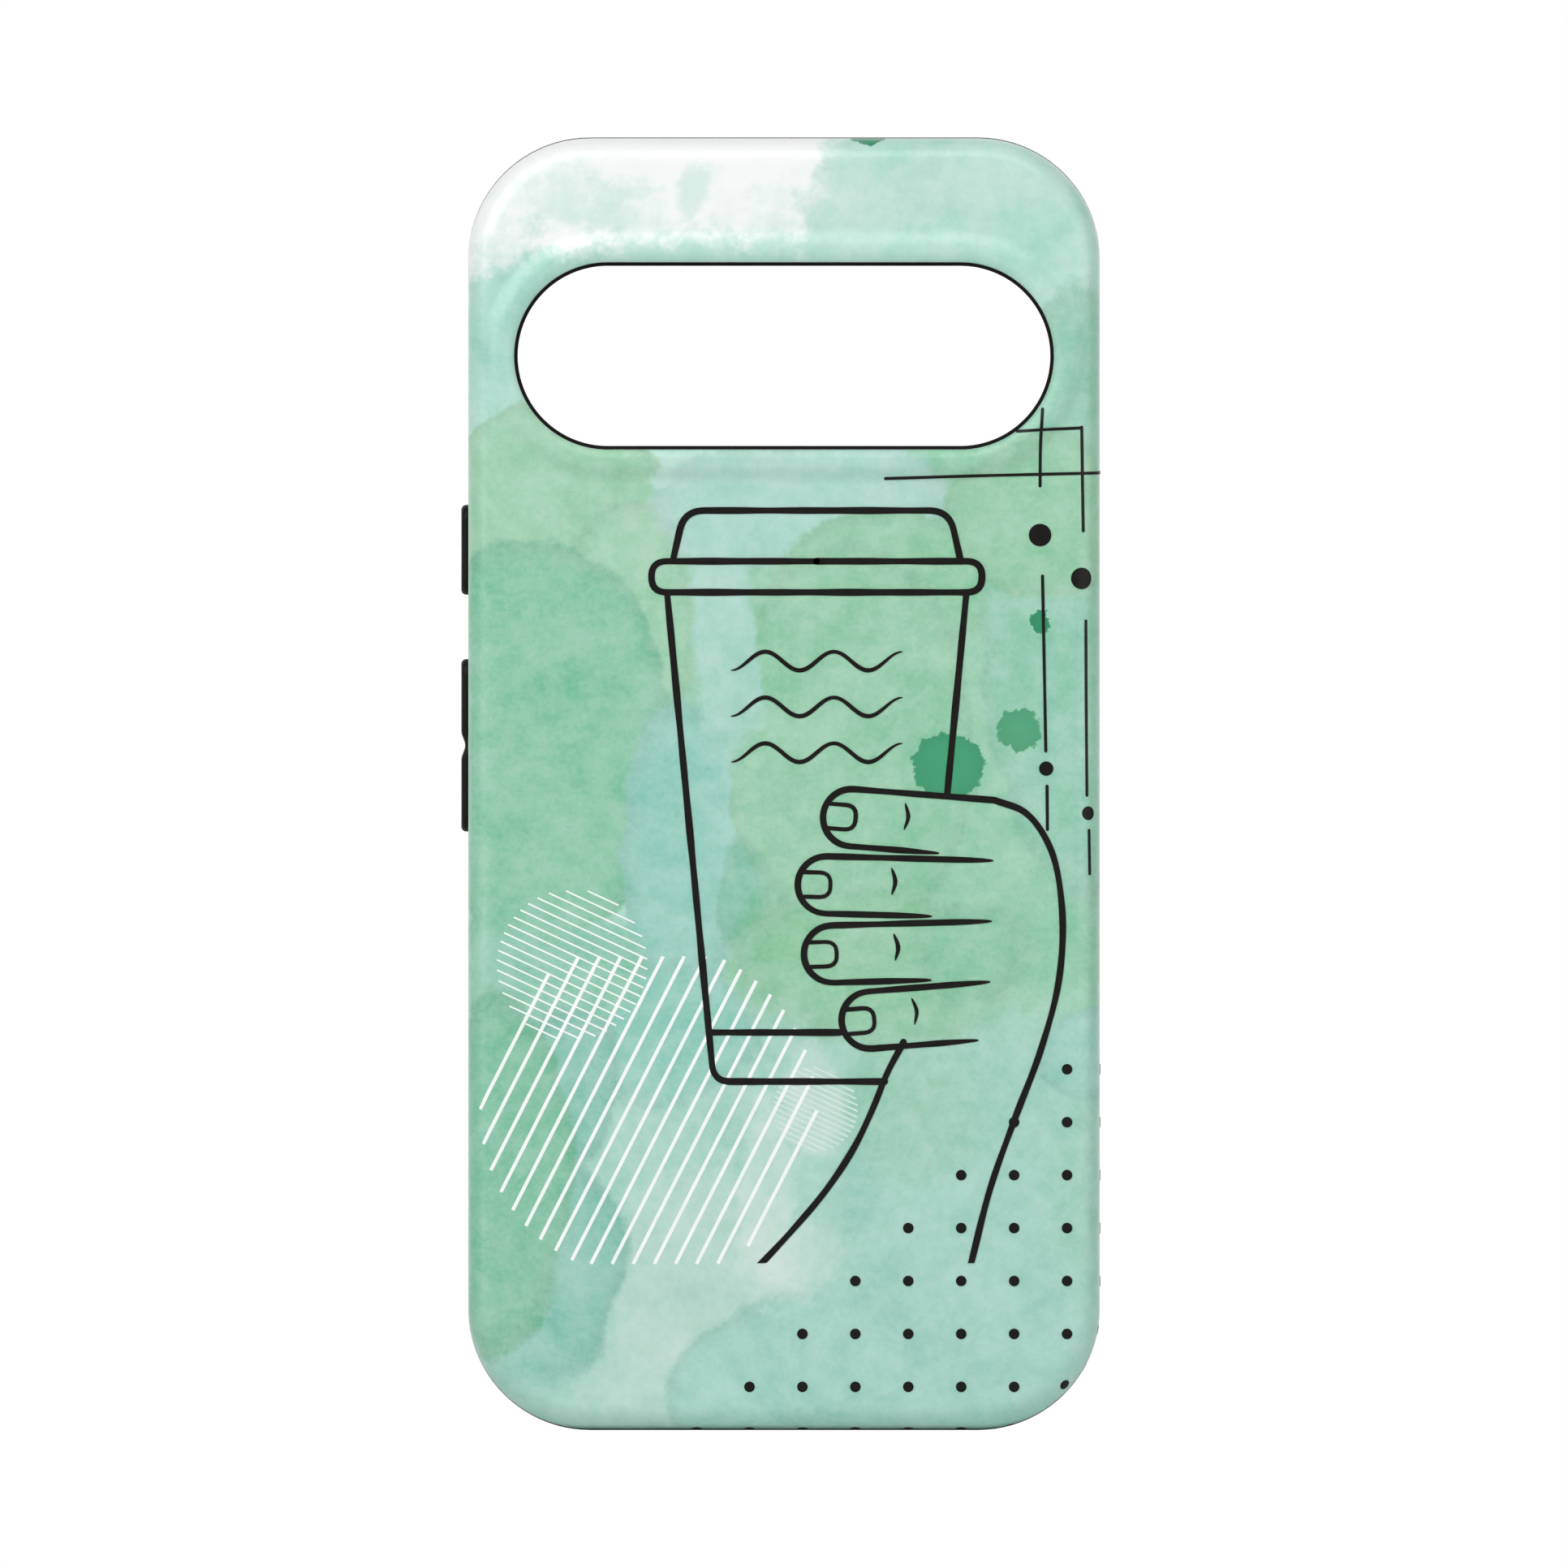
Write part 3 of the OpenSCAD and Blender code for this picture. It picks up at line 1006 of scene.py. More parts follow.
@dataclass(frozen=True)
class OuterShell:
    """The hard outer layer: printed outside, bare plastic inside, open to the front."""

    back: BackSurface = BackSurface()
    cavity: Outline = Outline(74.6, 155.2, 13.6)
    inner_plane: float = -4.3
    inner_edge: float = 1.9
    front: float = 4.65
    front_round: float = 0.3
    front_lip: float = 0.2
    hem: float = 0.12
    window_round: float = 0.5
    window_turn: float = 56.3
    lip_steps: tuple[float, ...] = (
        0.3, 0.42, 0.58, 0.76, 0.96, 1.15, 1.33, 1.5, 1.62, 1.74,
        1.88, 2.05, 2.3, 2.6, 2.9, 3.2, 3.5, 3.8, 4.1, 4.3,
    )
    notch_room: float = 2.6
    notch_deep: float = 10.4
    notch_corner: float = 1.6
    notch_middle: float = 2.85
    notch_edge: float = 0.25
    top: float = 157.9
    bottom: float = 0.1
    opening_deep: float = 4.0
    opening_edge: float = 0.2

    def _window_rings(self, spokes: Spokes) -> list[np.ndarray]:
        """Draws the window's wall and its rounded edge, from the inside out.

        Args:
            spokes: the lines that the rings lie on.

        Returns:
            The rings.
        """
        rings = [level_ring(spokes.out(0.0), y) for y in (self.inner_plane + self.hem, -4.8, -5.2)]
        turns = [math.radians(self.window_turn * i / 6) for i in range(7)]
        gap_end = self.window_round * (1 - math.cos(turns[-1]))
        base = float(self.back.lip(np.array(gap_end))) - self.window_round * math.sin(turns[-1])
        for turn in turns:
            spots = spokes.out(self.window_round * (1 - math.cos(turn)))
            rings.append(level_ring(spots, self.back.plane - base - self.window_round * math.sin(turn)))
        return rings

    def _back_rings(self, spokes: Spokes) -> list[np.ndarray]:
        """Draws the lip, the flat back and the rounded edge.

        Args:
            spokes: the lines that the rings lie on.

        Returns:
            The rings.
        """
        edge = spokes.reach(self.back.outline.inset(self.back.edge)) - self.window.radius
        room = np.minimum(self.back.lip_foot, edge - 0.35)
        first = self.lip_steps[0]
        shares = [(gap - first) / (self.back.lip_foot - first) for gap in self.lip_steps]
        reaches = [first + share * (room - first) for share in shares]
        reaches += [room + share * (edge - room) for share in (0.02, 0.3, 0.7, 0.98)]
        spots = [spokes.out(reach) for reach in reaches]
        for sine, _ in [(0.0, 1.0), *quarter(14)]:
            outline = self.back.outline.inset(self.back.edge * (1 - sine))
            spots.append(spokes.at(spokes.reach(outline)))
        return [level_ring(spot, self.back.depth(spot[:, 0], spot[:, 1])) for spot in spots]

    @property
    def window(self) -> Window:
        """The camera window."""
        return self.back.window

    def _side_rings(self, spokes: Spokes) -> list[np.ndarray]:
        """Draws the side wall, the front edge and the inside.

        Args:
            spokes: the lines that the rings lie on.

        Returns:
            The rings.
        """
        outline, radius = self.back.outline, self.front_round
        rings = [spokes.ring(outline, y) for y in (-1.0, 1.0, 3.0, self.front - radius)]
        for sine, cosine in quarter(4):
            rings.append(spokes.ring(outline.inset(radius * (1 - cosine)), self.front - radius * (1 - sine)))
        for sine, cosine in [(0.0, 1.0), *quarter(3)]:
            inset = -self.front_lip * (1 - sine)
            rings.append(spokes.ring(self.cavity.inset(inset), self.front - self.front_lip * (1 - cosine)))
        rings += [spokes.ring(self.cavity, y) for y in (2.5, 0.0, self.inner_plane + self.inner_edge)]
        for sine, cosine in quarter(6):
            depth = self.inner_plane + self.inner_edge * (1 - sine)
            rings.append(spokes.ring(self.cavity.inset(self.inner_edge * (1 - cosine)), depth))
        return [*rings, level_ring(spokes.out(self.hem), self.inner_plane)]

    def build(self) -> bpy.types.Object:
        """Makes the shell with its openings, dresses it and ties it to its body.

        Returns:
            The shell.
        """
        spokes = Spokes(self.window, self.back.outline)
        window, back, side = self._window_rings(spokes), self._back_rings(spokes), self._side_rings(spokes)
        finishes = [1] * 3 + [0] * (len(window) + len(back) + 4) + [1] * (len(side) - 7)
        body = Body()
        body.loft(window + back + side, ends=False, finishes=finishes)
        printed = PrintedGloss(self.back, washes=WASHES, drops=DROPS).dress()
        bare = MouldedPlastic().dress()
        shell = body.make("outer_shell_printed", [printed, bare])
        tool = Body()
        for button in BUTTONS:
            size = (button.length + self.notch_room, self.notch_deep, self.notch_corner)
            notch = Opening(*size, button.height, self.notch_middle)
            wall = flare(CUT_START, -self.back.outline.width / 2, self.notch_edge)
            tool.loft(notch.rings(wall, Wall.SIDE), ends=True)
        end_cutters(tool, self.top, self.bottom, self.opening_deep, self.opening_edge)
        tool.finishes = [1] * len(tool.faces)
        combine(shell, tool.make("shell_cutter", [printed, bare]), Cut.AWAY)
        even_shading(shell)
        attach(shell, "shell")
        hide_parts("outer_shell")
        return shell


@dataclass(frozen=True)
class InnerLiner:
    """The soft inner layer: back skin, walls, front rim and the pads round the button covers."""

    window: Window = Window()
    body: Outline = Outline(74.4, 155.0, 13.5)
    pocket: Outline = Outline(72.2, 153.0, 12.4)
    rim: Outline = Outline(77.2, 158.0, 14.9)
    screen: Outline = Outline(69.2, 150.0, 10.9)
    plane: float = -4.2
    edge: float = 1.8
    floor: float = -3.1
    floor_edge: float = 0.8
    shoulder: float = 4.75
    ledge: float = 5.4
    front: float = 6.4
    inset: float = 0.45
    rim_round: float = 0.5
    rim_step: float = 0.1
    lip_round: float = 0.3
    pad_room: float = 2.4
    pad_deep: float = 7.5
    pad_corner: float = 1.5
    pad_middle: float = 1.5
    pad_root: float = -36.7
    pad_shoulder: float = -38.2
    pad_edge: float = 0.25
    well_room: float = 1.0
    well_deep: float = 5.4
    well_corner: float = 2.5
    well_mouth: float = -38.45
    well_edge: float = 0.15
    top: float = 158.0
    bottom: float = 0.0
    opening_deep: float = 4.5
    opening_edge: float = 0.1

    def _outside(self, spokes: Spokes) -> list[np.ndarray]:
        """Draws the window's wall, the back skin, the side walls and the front rim.

        Args:
            spokes: the lines that the rings lie on.

        Returns:
            The rings.
        """
        stations = ((0.0, -3.25), (0.0, -4.1), (0.1, self.plane))
        rings = [level_ring(spokes.out(grow - self.inset), depth) for grow, depth in stations]
        for sine, cosine in [(0.0, 1.0), *quarter(6)]:
            inset = self.edge * (1 - sine)
            rings.append(spokes.ring(self.body.inset(inset), self.plane + self.edge * (1 - cosine)))
        rings += [spokes.ring(self.body, y) for y in (0.0, 2.5, self.shoulder)]
        rings.append(spokes.ring(self.rim.inset(self.rim_step), self.shoulder))
        rings.append(spokes.ring(self.rim, self.shoulder + self.rim_step))
        rings.append(spokes.ring(self.rim, self.front - self.rim_round))
        for sine, cosine in quarter(5):
            inset = self.rim_round * (1 - cosine)
            rings.append(spokes.ring(self.rim.inset(inset), self.front - self.rim_round * (1 - sine)))
        return rings

    def _inside(self, spokes: Spokes) -> list[np.ndarray]:
        """Draws the screen opening, the ledge under it, the pocket's walls and its floor.

        Args:
            spokes: the lines that the rings lie on.

        Returns:
            The rings.
        """
        rings = [spokes.ring(self.screen.inset(-self.lip_round), self.front)]
        for sine, cosine in quarter(4):
            inset = -self.lip_round * (1 - sine)
            rings.append(spokes.ring(self.screen.inset(inset), self.front - self.lip_round * (1 - cosine)))
        rings.append(spokes.ring(self.screen, self.ledge + self.rim_step))
        rings.append(spokes.ring(self.screen.inset(-self.rim_step), self.ledge))
        rings += [spokes.ring(self.pocket, y) for y in (self.ledge, 2.5, 0.0, self.floor + self.floor_edge)]
        for sine, cosine in quarter(5):
            inset = self.floor_edge * (1 - cosine)
            rings.append(spokes.ring(self.pocket.inset(inset), self.floor + self.floor_edge * (1 - sine)))
        return [*rings, level_ring(spokes.out(0.15 - self.inset), self.floor)]

    def build(self) -> bpy.types.Object:
        """Makes the liner with its pads, wells and openings, dresses it and ties it to its body.

        Returns:
            The liner.
        """
        spokes = Spokes(self.window, self.rim)
        rubber = MouldedRubber("satin black rubber").dress()
        body = Body()
        body.loft(self._outside(spokes) + self._inside(spokes), ends=False)
        liner = body.make("inner_liner_moulded", [rubber])
        pads, wells = Body(), Body()
        for button in BUTTONS:
            size = (button.length + self.pad_room, self.pad_deep, self.pad_corner)
            pad = Opening(*size, button.height, self.pad_middle)
            stations = [(self.pad_root, 0.0)]
            for sine, cosine in [(0.0, 1.0), *quarter(4)]:
                stations.append((self.pad_shoulder - self.pad_edge * sine, self.pad_edge * (cosine - 1)))
            pads.loft(pad.rings(stations, Wall.SIDE), ends=True)
            well = Opening(button.length + self.well_room, self.well_deep, self.well_corner, button.height)
            wells.loft(well.rings(flare(CUT_START, self.well_mouth, self.well_edge), Wall.SIDE), ends=True)
        combine(liner, pads.make("pads", [rubber]), Cut.JOIN)
        end_cutters(wells, self.top, self.bottom, self.opening_deep, self.opening_edge)
        combine(liner, wells.make("wells", [rubber]), Cut.AWAY)
        even_shading(liner)
        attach(liner, "liner")
        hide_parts("inner_liner")
        return liner


@dataclass(frozen=True)
class ButtonCover:
    """A soft cover that stands out of the side, with the web that joins it to the liner."""

    place: ButtonPlace
    width: float = 4.4
    corner: float = 2.0
    inner: float = -36.6
    outer: float = -39.45
    edge: float = 0.6
    crown: float = 0.1
    waist_half: float = 1.75
    waist_root: float = -38.3
    flex: Point = (-37.08, -37.5)
    web: tuple[Point, ...] = (
        (-0.08, -37.8), (0.1, -37.76), (0.22, -37.55), (0.36, -37.2), (0.46, -37.08), (0.58, -37.05),
        (0.58, -36.8), (0.42, -36.82), (0.28, -36.95), (0.14, -37.3), (0.04, -37.48), (-0.08, -37.5),
    )

    def _ring(self, grow: float, depth: float, share: float = 1.0) -> np.ndarray:
        """Draws a ring of the cover's outline.

        Args:
            grow: how far it lies outside the outline.
            depth: its place along X.
            share: 1 for the whole ring, less to draw it in towards the cover's long middle line.

        Returns:
            The ring's points.
        """
        length, width = self.place.length + 2 * grow, self.width + 2 * grow
        steps = [4, round(self.place.length / 0.3)]
        loop = round_loop(length, width, self.corner + grow, 8, steps)
        run = (self.place.length - self.width) / 2
        core = np.stack([np.clip(loop[:, 0], -run, run), np.zeros(len(loop))], -1)
        loop = core + (loop - core) * share
        across, up = loop[:, 1] + DEPTH_MIDDLE, loop[:, 0] + self.place.height
        return np.stack([np.full(len(loop), depth), across, up], -1)

    def _dip(self, points: np.ndarray) -> np.ndarray:
        """Sinks the waist into the outer face and crowns it a little.

        Args:
            points: the cover's points.

        Returns:
            The moved points.
        """
        made = points.copy()
        up = np.clip(np.abs(made[:, 2] - self.place.height) / self.waist_half, 0, 1)
        depth = np.clip((self.waist_root - made[:, 0]) / (self.waist_root - self.outer), 0, 1)
        across = (made[:, 1] - DEPTH_MIDDLE) / (self.width / 2)
        made[:, 0] += depth * (self.place.waist * (0.5 + 0.5 * np.cos(math.pi * up)) + self.crown * across**2)
        return made

    def build(self, rubber: bpy.types.Material) -> bpy.types.Object:
        """Makes the cover and ties it to its body.

        Args:
            rubber: its material.

        Returns:
            The cover.
        """
        rings = [self._ring(0.0, self.inner, share) for share in (0.0, 0.5, 0.94)]
        rings += [self._ring(0.0, x) for x in (self.inner - 0.12, -37.4, -38.1, self.outer + self.edge)]
        for sine, cosine in quarter(6):
            rings.append(self._ring(-self.edge * (1 - cosine), self.outer + self.edge * (1 - sine)))
        rings += [self._ring(-self.edge, self.outer, share) for share in (0.8, 0.55, 0.3, 0.0)]
        body = Body()
        body.loft([self._dip(ring) for ring in rings], ends=False)
        body.faces = body.faces[: -len(rings[0])]
        body.finishes = body.finishes[: len(body.faces)]
        cover = body.make(f"{self.place.name}_cover_moulded", [rubber], 50.0)
        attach(cover, self.place.name)
        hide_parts(f"{self.place.name}_cover")
        return cover

    def build_web(self, rubber: bpy.types.Material) -> bpy.types.Object:
        """Makes the thin web that joins the liner and the cover.

        Args:
            rubber: its material.

        Returns:
            The web.
        """
        body = Body()
        body.loft([self._ring(grow, depth) for grow, depth in self.web], ends=False)
        web = body.make(f"{self.place.name}_web_moulded", [rubber], 60.0)
        ends = [(x * MM, DEPTH_MIDDLE * MM, self.place.height * MM) for x in self.flex]
        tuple(ends[0])
        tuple(ends[1])
        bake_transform(web)
        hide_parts(f"{self.place.name}_web")
        return web


# --- The printed drawing -----------------------------------------------------


class Tip(Enum):
    """How a stroke ends."""

    ROUND = "round"
    CUT = "cut"
    FINE = "fine"


@dataclass(frozen=True)
class Stroke:
    """One stroke of ink through a few points of the flat print."""

    points: tuple[Point, ...]
    width: float = 0.85
    tips: tuple[Tip, Tip] = (Tip.ROUND, Tip.ROUND)
    straight: bool = False
    step: float = 0.45
    uneven: float = 0.1
    floor: float = -9.0

    def path(self) -> np.ndarray:
        """Runs a smooth line through the points.

        Returns:
            Points a step apart.
        """
        marks = np.array(self.points, float)
        if not self.straight:
            marks = self._curve(marks)
        lengths = np.concatenate([[0.0], np.cumsum(np.linalg.norm(np.diff(marks, axis=0), axis=1))])
        count = max(4, math.ceil(lengths[-1] / self.step))
        even = np.linspace(0, lengths[-1], count + 1)
        return np.stack([np.interp(even, lengths, marks[:, k]) for k in (0, 1)], -1)

    @staticmethod
    def _curve(marks: np.ndarray) -> np.ndarray:
        """Bends a line smoothly through its points.

        Args:
            marks: the points.

        Returns:
            Many points on the smooth line.
        """
        padded = np.concatenate([[2 * marks[0] - marks[1]], marks, [2 * marks[-1] - marks[-2]]])
        made = []
        for a, b, c, d in zip(padded, padded[1:], padded[2:], padded[3:]):
            spans = ((a, b), (b, c), (c, d))
            knots = np.cumsum([0.0] + [max(math.dist(p, q), 1e-6) ** 0.5 for p, q in spans])
            for t in np.linspace(knots[1], knots[2], 16, endpoint=False):
                ab, bc, cd = (
                    p + (q - p) * (t - low) / (high - low)
                    for (p, q), low, high in zip(spans, knots, knots[1:])
                )
                abc = ab + (bc - ab) * (t - knots[0]) / (knots[2] - knots[0])
                bcd = bc + (cd - bc) * (t - knots[1]) / (knots[3] - knots[1])
                made.append(abc + (bcd - abc) * (t - knots[1]) / (knots[2] - knots[1]))
        return np.array([*made, marks[-1]])

    def band(self) -> tuple[np.ndarray, np.ndarray, np.ndarray]:
        """Works out the stroke's middle line, its square direction and its half-widths.

        Returns:
            Points, unit vectors and half-widths.
        """
        line = self.path()
        run = np.concatenate([[0.0], np.cumsum(np.linalg.norm(np.diff(line, axis=0), axis=1))])
        half = self.width / 2 * (1 + self.uneven * np.sin(run * 0.55 + line[0, 0]) * np.cos(run * 0.21))
        for tip, along in ((self.tips[0], run), (self.tips[1], run[-1] - run)):
            if tip is Tip.FINE:
                half = half * (0.2 + 0.8 * np.sqrt(np.clip(along / min(5.0, run[-1] / 2), 0, 1)))
        for end, inner, tip in ((0, 1, self.tips[0]), (-1, -2, self.tips[1])):
            if tip is Tip.ROUND:
                line, half = self._round_end(line, half, end, inner)
        way = np.gradient(line, axis=0)
        way /= np.maximum(np.linalg.norm(way, axis=1), 1e-9)[:, None]
        return line, np.stack([-way[:, 1], way[:, 0]], -1), half

    @staticmethod
    def _round_end(line: np.ndarray, half: np.ndarray, end: int, inner: int) -> tuple[np.ndarray, np.ndarray]:
        """Adds a round end to a stroke.

        Args:
            line: the middle line.
            half: its half-widths.
            end: the index of the end point.
            inner: the index of its neighbour.

        Returns:
            The longer line and its half-widths.
        """
        way = (line[end] - line[inner]) / max(math.dist(line[end], line[inner]), 1e-9)
        radius = half[end]
        turns = [math.radians(a) for a in (25, 50, 70, 84)]
        points = np.array([line[end] + way * radius * math.sin(a) for a in turns])
        widths = np.array([radius * math.cos(a) for a in turns])
        if end == 0:
            return np.concatenate([points[::-1], line]), np.concatenate([widths[::-1], half])
        return np.concatenate([line, points]), np.concatenate([half, widths])


class Layer(Enum):
    """Inks in the order of printing, each with its lift off the surface."""

    FAINT = 0.004
    WHITE = 0.02
    BLACK = 0.062


@dataclass
class InkDrawing:
    """A group of strokes and dots of one ink, as thin closed bodies on the shell."""

    name: str
    strokes: list[Stroke]
    ink: PrintedInk
    slot: str
    layer: Layer = Layer.BLACK
    dots: list[tuple[float, float, float]] = field(default_factory=list)
    back: BackSurface = BackSurface()
    sunk: float = 0.03

    def _add_stroke(self, body: Body, stroke: Stroke, lift: float) -> None:
        """Adds one stroke's closed band.

        Args:
            body: the mesh that takes it.
            stroke: the stroke.
            lift: how far it stands off the surface.
        """
        line, square, half = stroke.band()
        section = [(side, lift) for side in (1.0, 0.5, 0.0, -0.5, -1.0)]
        section += [(-1.0, -self.sunk), (1.0, -self.sunk)]
        sides = []
        for side, height in section:
            spots = line + square * (half * side)[:, None]
            spots[:, 1] = np.maximum(spots[:, 1], stroke.floor)
            sides.append(self.back.wrap(spots[:, 0], spots[:, 1], height))
        rings = [np.stack([side[i] for side in sides]) for i in range(len(line))]
        body.loft(rings, ends=True)

    def _add_dot(self, body: Body, dot: tuple[float, float, float], lift: float) -> None:
        """Adds one round dot as a closed disc.

        Args:
            body: the mesh that takes it.
            dot: its place on the print and its radius.
            lift: how far it stands off the surface.
        """
        turn = np.linspace(0, 2 * math.pi, 28, endpoint=False)
        circle = np.stack([np.cos(turn), np.sin(turn)], -1)
        section = [(0.05, -self.sunk), (1.0, -self.sunk)]
        section += [(share, lift) for share in (1.0, 0.66, 0.33, 0.05)]
        rings = []
        for share, height in section:
            spots = circle * dot[2] * share + dot[:2]
            rings.append(self.back.wrap(spots[:, 0], spots[:, 1], height))
        body.loft(rings, ends=True)

    def build(self) -> bpy.types.Object:
        """Makes the drawing and ties it to the shell.

        Returns:
            The drawing.
        """
        body = Body()
        for k, stroke in enumerate(self.strokes):
            self._add_stroke(body, stroke, self.layer.value + 0.001 * k)
        for dot in self.dots:
            self._add_dot(body, dot, self.layer.value + 0.001 * len(self.strokes))
        made = body.make(self.name, [self.ink.dress()])
        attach(made, "shell")
        return made


def eased(corners: tuple[Point, ...], rounding: float, step: float = 0.8) -> tuple[Point, ...]:
    """Walks along straight lines and rounds the corners between them.

    Args:
        corners: the two ends, and the corners between them.
        rounding: how far from a corner its curve starts.
        step: the distance between the points.

    Returns:
        Even points along the way.
    """
    spots = np.array(corners, float)
    stops = [spots[0]]
    for before, corner, after in zip(spots, spots[1:], spots[2:]):
        into = corner + (before - corner) * rounding / math.dist(before, corner)
        out = corner + (after - corner) * rounding / math.dist(after, corner)
        for t in np.linspace(0, 1, 7):
            stops.append((1 - t) ** 2 * into + 2 * t * (1 - t) * corner + t**2 * out)
    line = np.array([*stops, spots[-1]])
    run = np.concatenate([[0.0], np.cumsum(np.linalg.norm(np.diff(line, axis=0), axis=1))])
    at = np.linspace(0, run[-1], round(run[-1] / step) + 1)
    across, up = (np.interp(at, run, line[:, k]).tolist() for k in (0, 1))
    return tuple(zip(across, up))


@dataclass(frozen=True)
class CupDrawing:
    """A plain upright takeaway cup with a lid, and soft waves on it."""

    ink: PrintedInk
    middle: float = 4.0
    top: float = 112.4
    brim_top: float = 106.2
    brim_foot: float = 102.4
    foot: float = 42.6
    band: float = 6.0
    lid_half: Point = (16.2, 17.6)
    brim_half: float = 20.2
    body_half: Point = (18.3, 12.6)
    line: float = 0.82
    right_side_end: float = 77.9
    base_end: float = 12.3
    band_end: float = 6.8
    wave_levels: tuple[float, ...] = (94.0, 88.4, 82.8)
    wave_half: float = 10.5
    wave_length: float = 8.4
    wave_height: float = 1.15

    def _half(self, level: float) -> float:
        """Returns half the body's width at a level."""
        share = (level - self.foot) / (self.brim_foot - self.foot)
        return self.body_half[1] + (self.body_half[0] - self.body_half[1]) * share

    def _wave(self, level: float) -> Stroke:
        """Draws one wave across the cup.

        Args:
            level: how high it runs.

        Returns:
            The stroke.
        """
        places = np.linspace(-self.wave_half, self.wave_half, 41)
        rise = self.wave_height * np.sin(2 * math.pi * places / self.wave_length)
        points = tuple((self.middle + float(x), level + float(r)) for x, r in zip(places, rise))
        return Stroke(points, 0.52, (Tip.FINE, Tip.FINE))

    def _mirrored(self, side: list[Point]) -> tuple[Point, ...]:
        """Draws a left side and the same one on the right.

        Args:
            side: its points, as the distance from the cup's middle and the level.

        Returns:
            The points from left to right.
        """
        left = [(self.middle - away, level) for away, level in side]
        right = [(self.middle + away, level) for away, level in reversed(side)]
        return (*left, *right)

    def strokes(self) -> list[Stroke]:
        """Lists the cup's strokes: lid, brim, left side and base, right side, band and waves.

        Returns:
            The strokes.
        """
        lid_top, lid_foot = self.lid_half
        lid = self._mirrored([(lid_foot, self.brim_top), (lid_top, self.top)])
        brim = self.brim_half
        bar = self._mirrored([(0.0, self.brim_top), (brim, self.brim_top), (brim, self.brim_foot)])
        left = [(self.middle - self._half(level), level) for level in (self.brim_foot, self.foot)]
        body = (*left, (self.base_end, self.foot))
        levels = np.linspace(self.brim_foot, self.right_side_end, 12).tolist()
        right = tuple((self.middle + self._half(level), level) for level in levels)
        level = self.foot + self.band
        places = np.linspace(self.middle - self._half(level), self.band_end, 12).tolist()
        band = tuple((place, level) for place in places)
        return [
            Stroke(eased(lid, 2.4), self.line),
            Stroke(eased(bar, 1.8), self.line),
            Stroke(eased(body, 2.0), self.line),
            Stroke(right, self.line),
            Stroke(band, self.line),
            *(self._wave(level) for level in self.wave_levels),
        ]

    def build(self) -> bpy.types.Object:
        """Returns the finished drawing."""
        return InkDrawing("cup_line_art", self.strokes(), self.ink, "line_ink").build()


@dataclass(frozen=True)
class HandDrawing:
    """A plain hand round the cup: four like fingers with nails, and the two sides of the wrist."""

    ink: PrintedInk
    fingers: int = 4
    first_root: Point = (25.5, 73.5)
    pitch: float = 7.4
    thickness: float = 7.0
    longest: float = 24.0
    longest_at: float = 1.3
    shortening: float = 1.9
    fan: float = 3.0
    nail_length: float = 4.0
    nail_half: float = 1.5
    line: float = 0.78
    thin: float = 0.52
    floor: float = 20.4
    back: tuple[Point, ...] = (
        (29.6, 75.4), (32.6, 71.0), (34.0, 63.5), (33.6, 55.0),
        (31.4, 46.5), (28.2, 38.0), (25.2, 29.5), (22.8, 20.1),
    )
    inside: tuple[Point, ...] = (
        (14.6, 47.4), (12.6, 43.6), (10.9, 39.4), (8.6, 34.6), (5.2, 29.4), (1.0, 24.4), (-3.0, 20.1),
    )

    def _placed(self, k: int, outline: Iterable[Point]) -> tuple[Point, ...]:
        """Lays an outline drawn along a finger in its place on the print.

        Args:
            k: which finger, counted from the top.
            outline: its points, as the distance along the finger and across it.

        Returns:
            The points on the print.
        """
        tilt = math.radians(self.fan * ((self.fingers - 1) / 2 - k))
        sine, cosine = math.sin(tilt), math.cos(tilt)
        x, z = self.first_root[0], self.first_root[1] - self.pitch * k
        return tuple(
            (x - along * cosine + across * sine, z + along * sine + across * cosine)
            for along, across in outline
        )

    def _finger(self, k: int) -> list[Stroke]:
        """Draws one finger: its outline, its nail and the crease at its joint.

        Args:
            k: which finger, counted from the top.

        Returns:
            The strokes.
        """
        half = self.thickness / 2
        reach = self.longest - self.shortening * (k - self.longest_at) ** 2
        bend = reach - half
        shown = 2.0 if k == self.fingers - 1 else 0.3 * reach
        outline = [(along, half) for along in np.arange(0.0, bend, 1.0)]
        turns = np.linspace(math.pi / 2, -math.pi / 2, 11)
        outline += [(bend + half * math.cos(turn), half * math.sin(turn)) for turn in turns]
        outline += [(along, -half) for along in np.arange(bend - 1.0, shown, -1.0)]
        upper = ((reach - 0.6, self.nail_half), (reach - self.nail_length, self.nail_half))
        nail = (*upper, *((along, -across) for along, across in reversed(upper)))
        joint = reach / 2
        crease = ((joint + 0.5, half - 1.2), (joint, 0.6), (joint + 0.4, -1.0))
        start = Tip.ROUND if k == 0 else Tip.FINE
        return [
            Stroke(self._placed(k, outline), self.line, (start, Tip.FINE)),
            Stroke(self._placed(k, eased(nail, 1.3, 0.5)), self.thin),
            Stroke(self._placed(k, crease), self.thin, (Tip.FINE, Tip.FINE)),
        ]

    def strokes(self) -> list[Stroke]:
        """Lists the hand's strokes: the fingers, the back of the hand and the inside of the wrist.

        Returns:
            The strokes.
        """
        shoulder = self._placed(0, [(0.0, self.thickness / 2)])[0]
        fingers = [stroke for k in range(self.fingers) for stroke in self._finger(k)]
        wrist = [
            Stroke(side, self.line, (Tip.ROUND, Tip.CUT), floor=self.floor)
            for side in ((shoulder, *self.back), self.inside)
        ]
        return [*fingers, *wrist]

    def build(self) -> bpy.types.Object:
        """Returns the finished drawing."""
        return InkDrawing("hand_line_art", self.strokes(), self.ink, "line_ink").build()


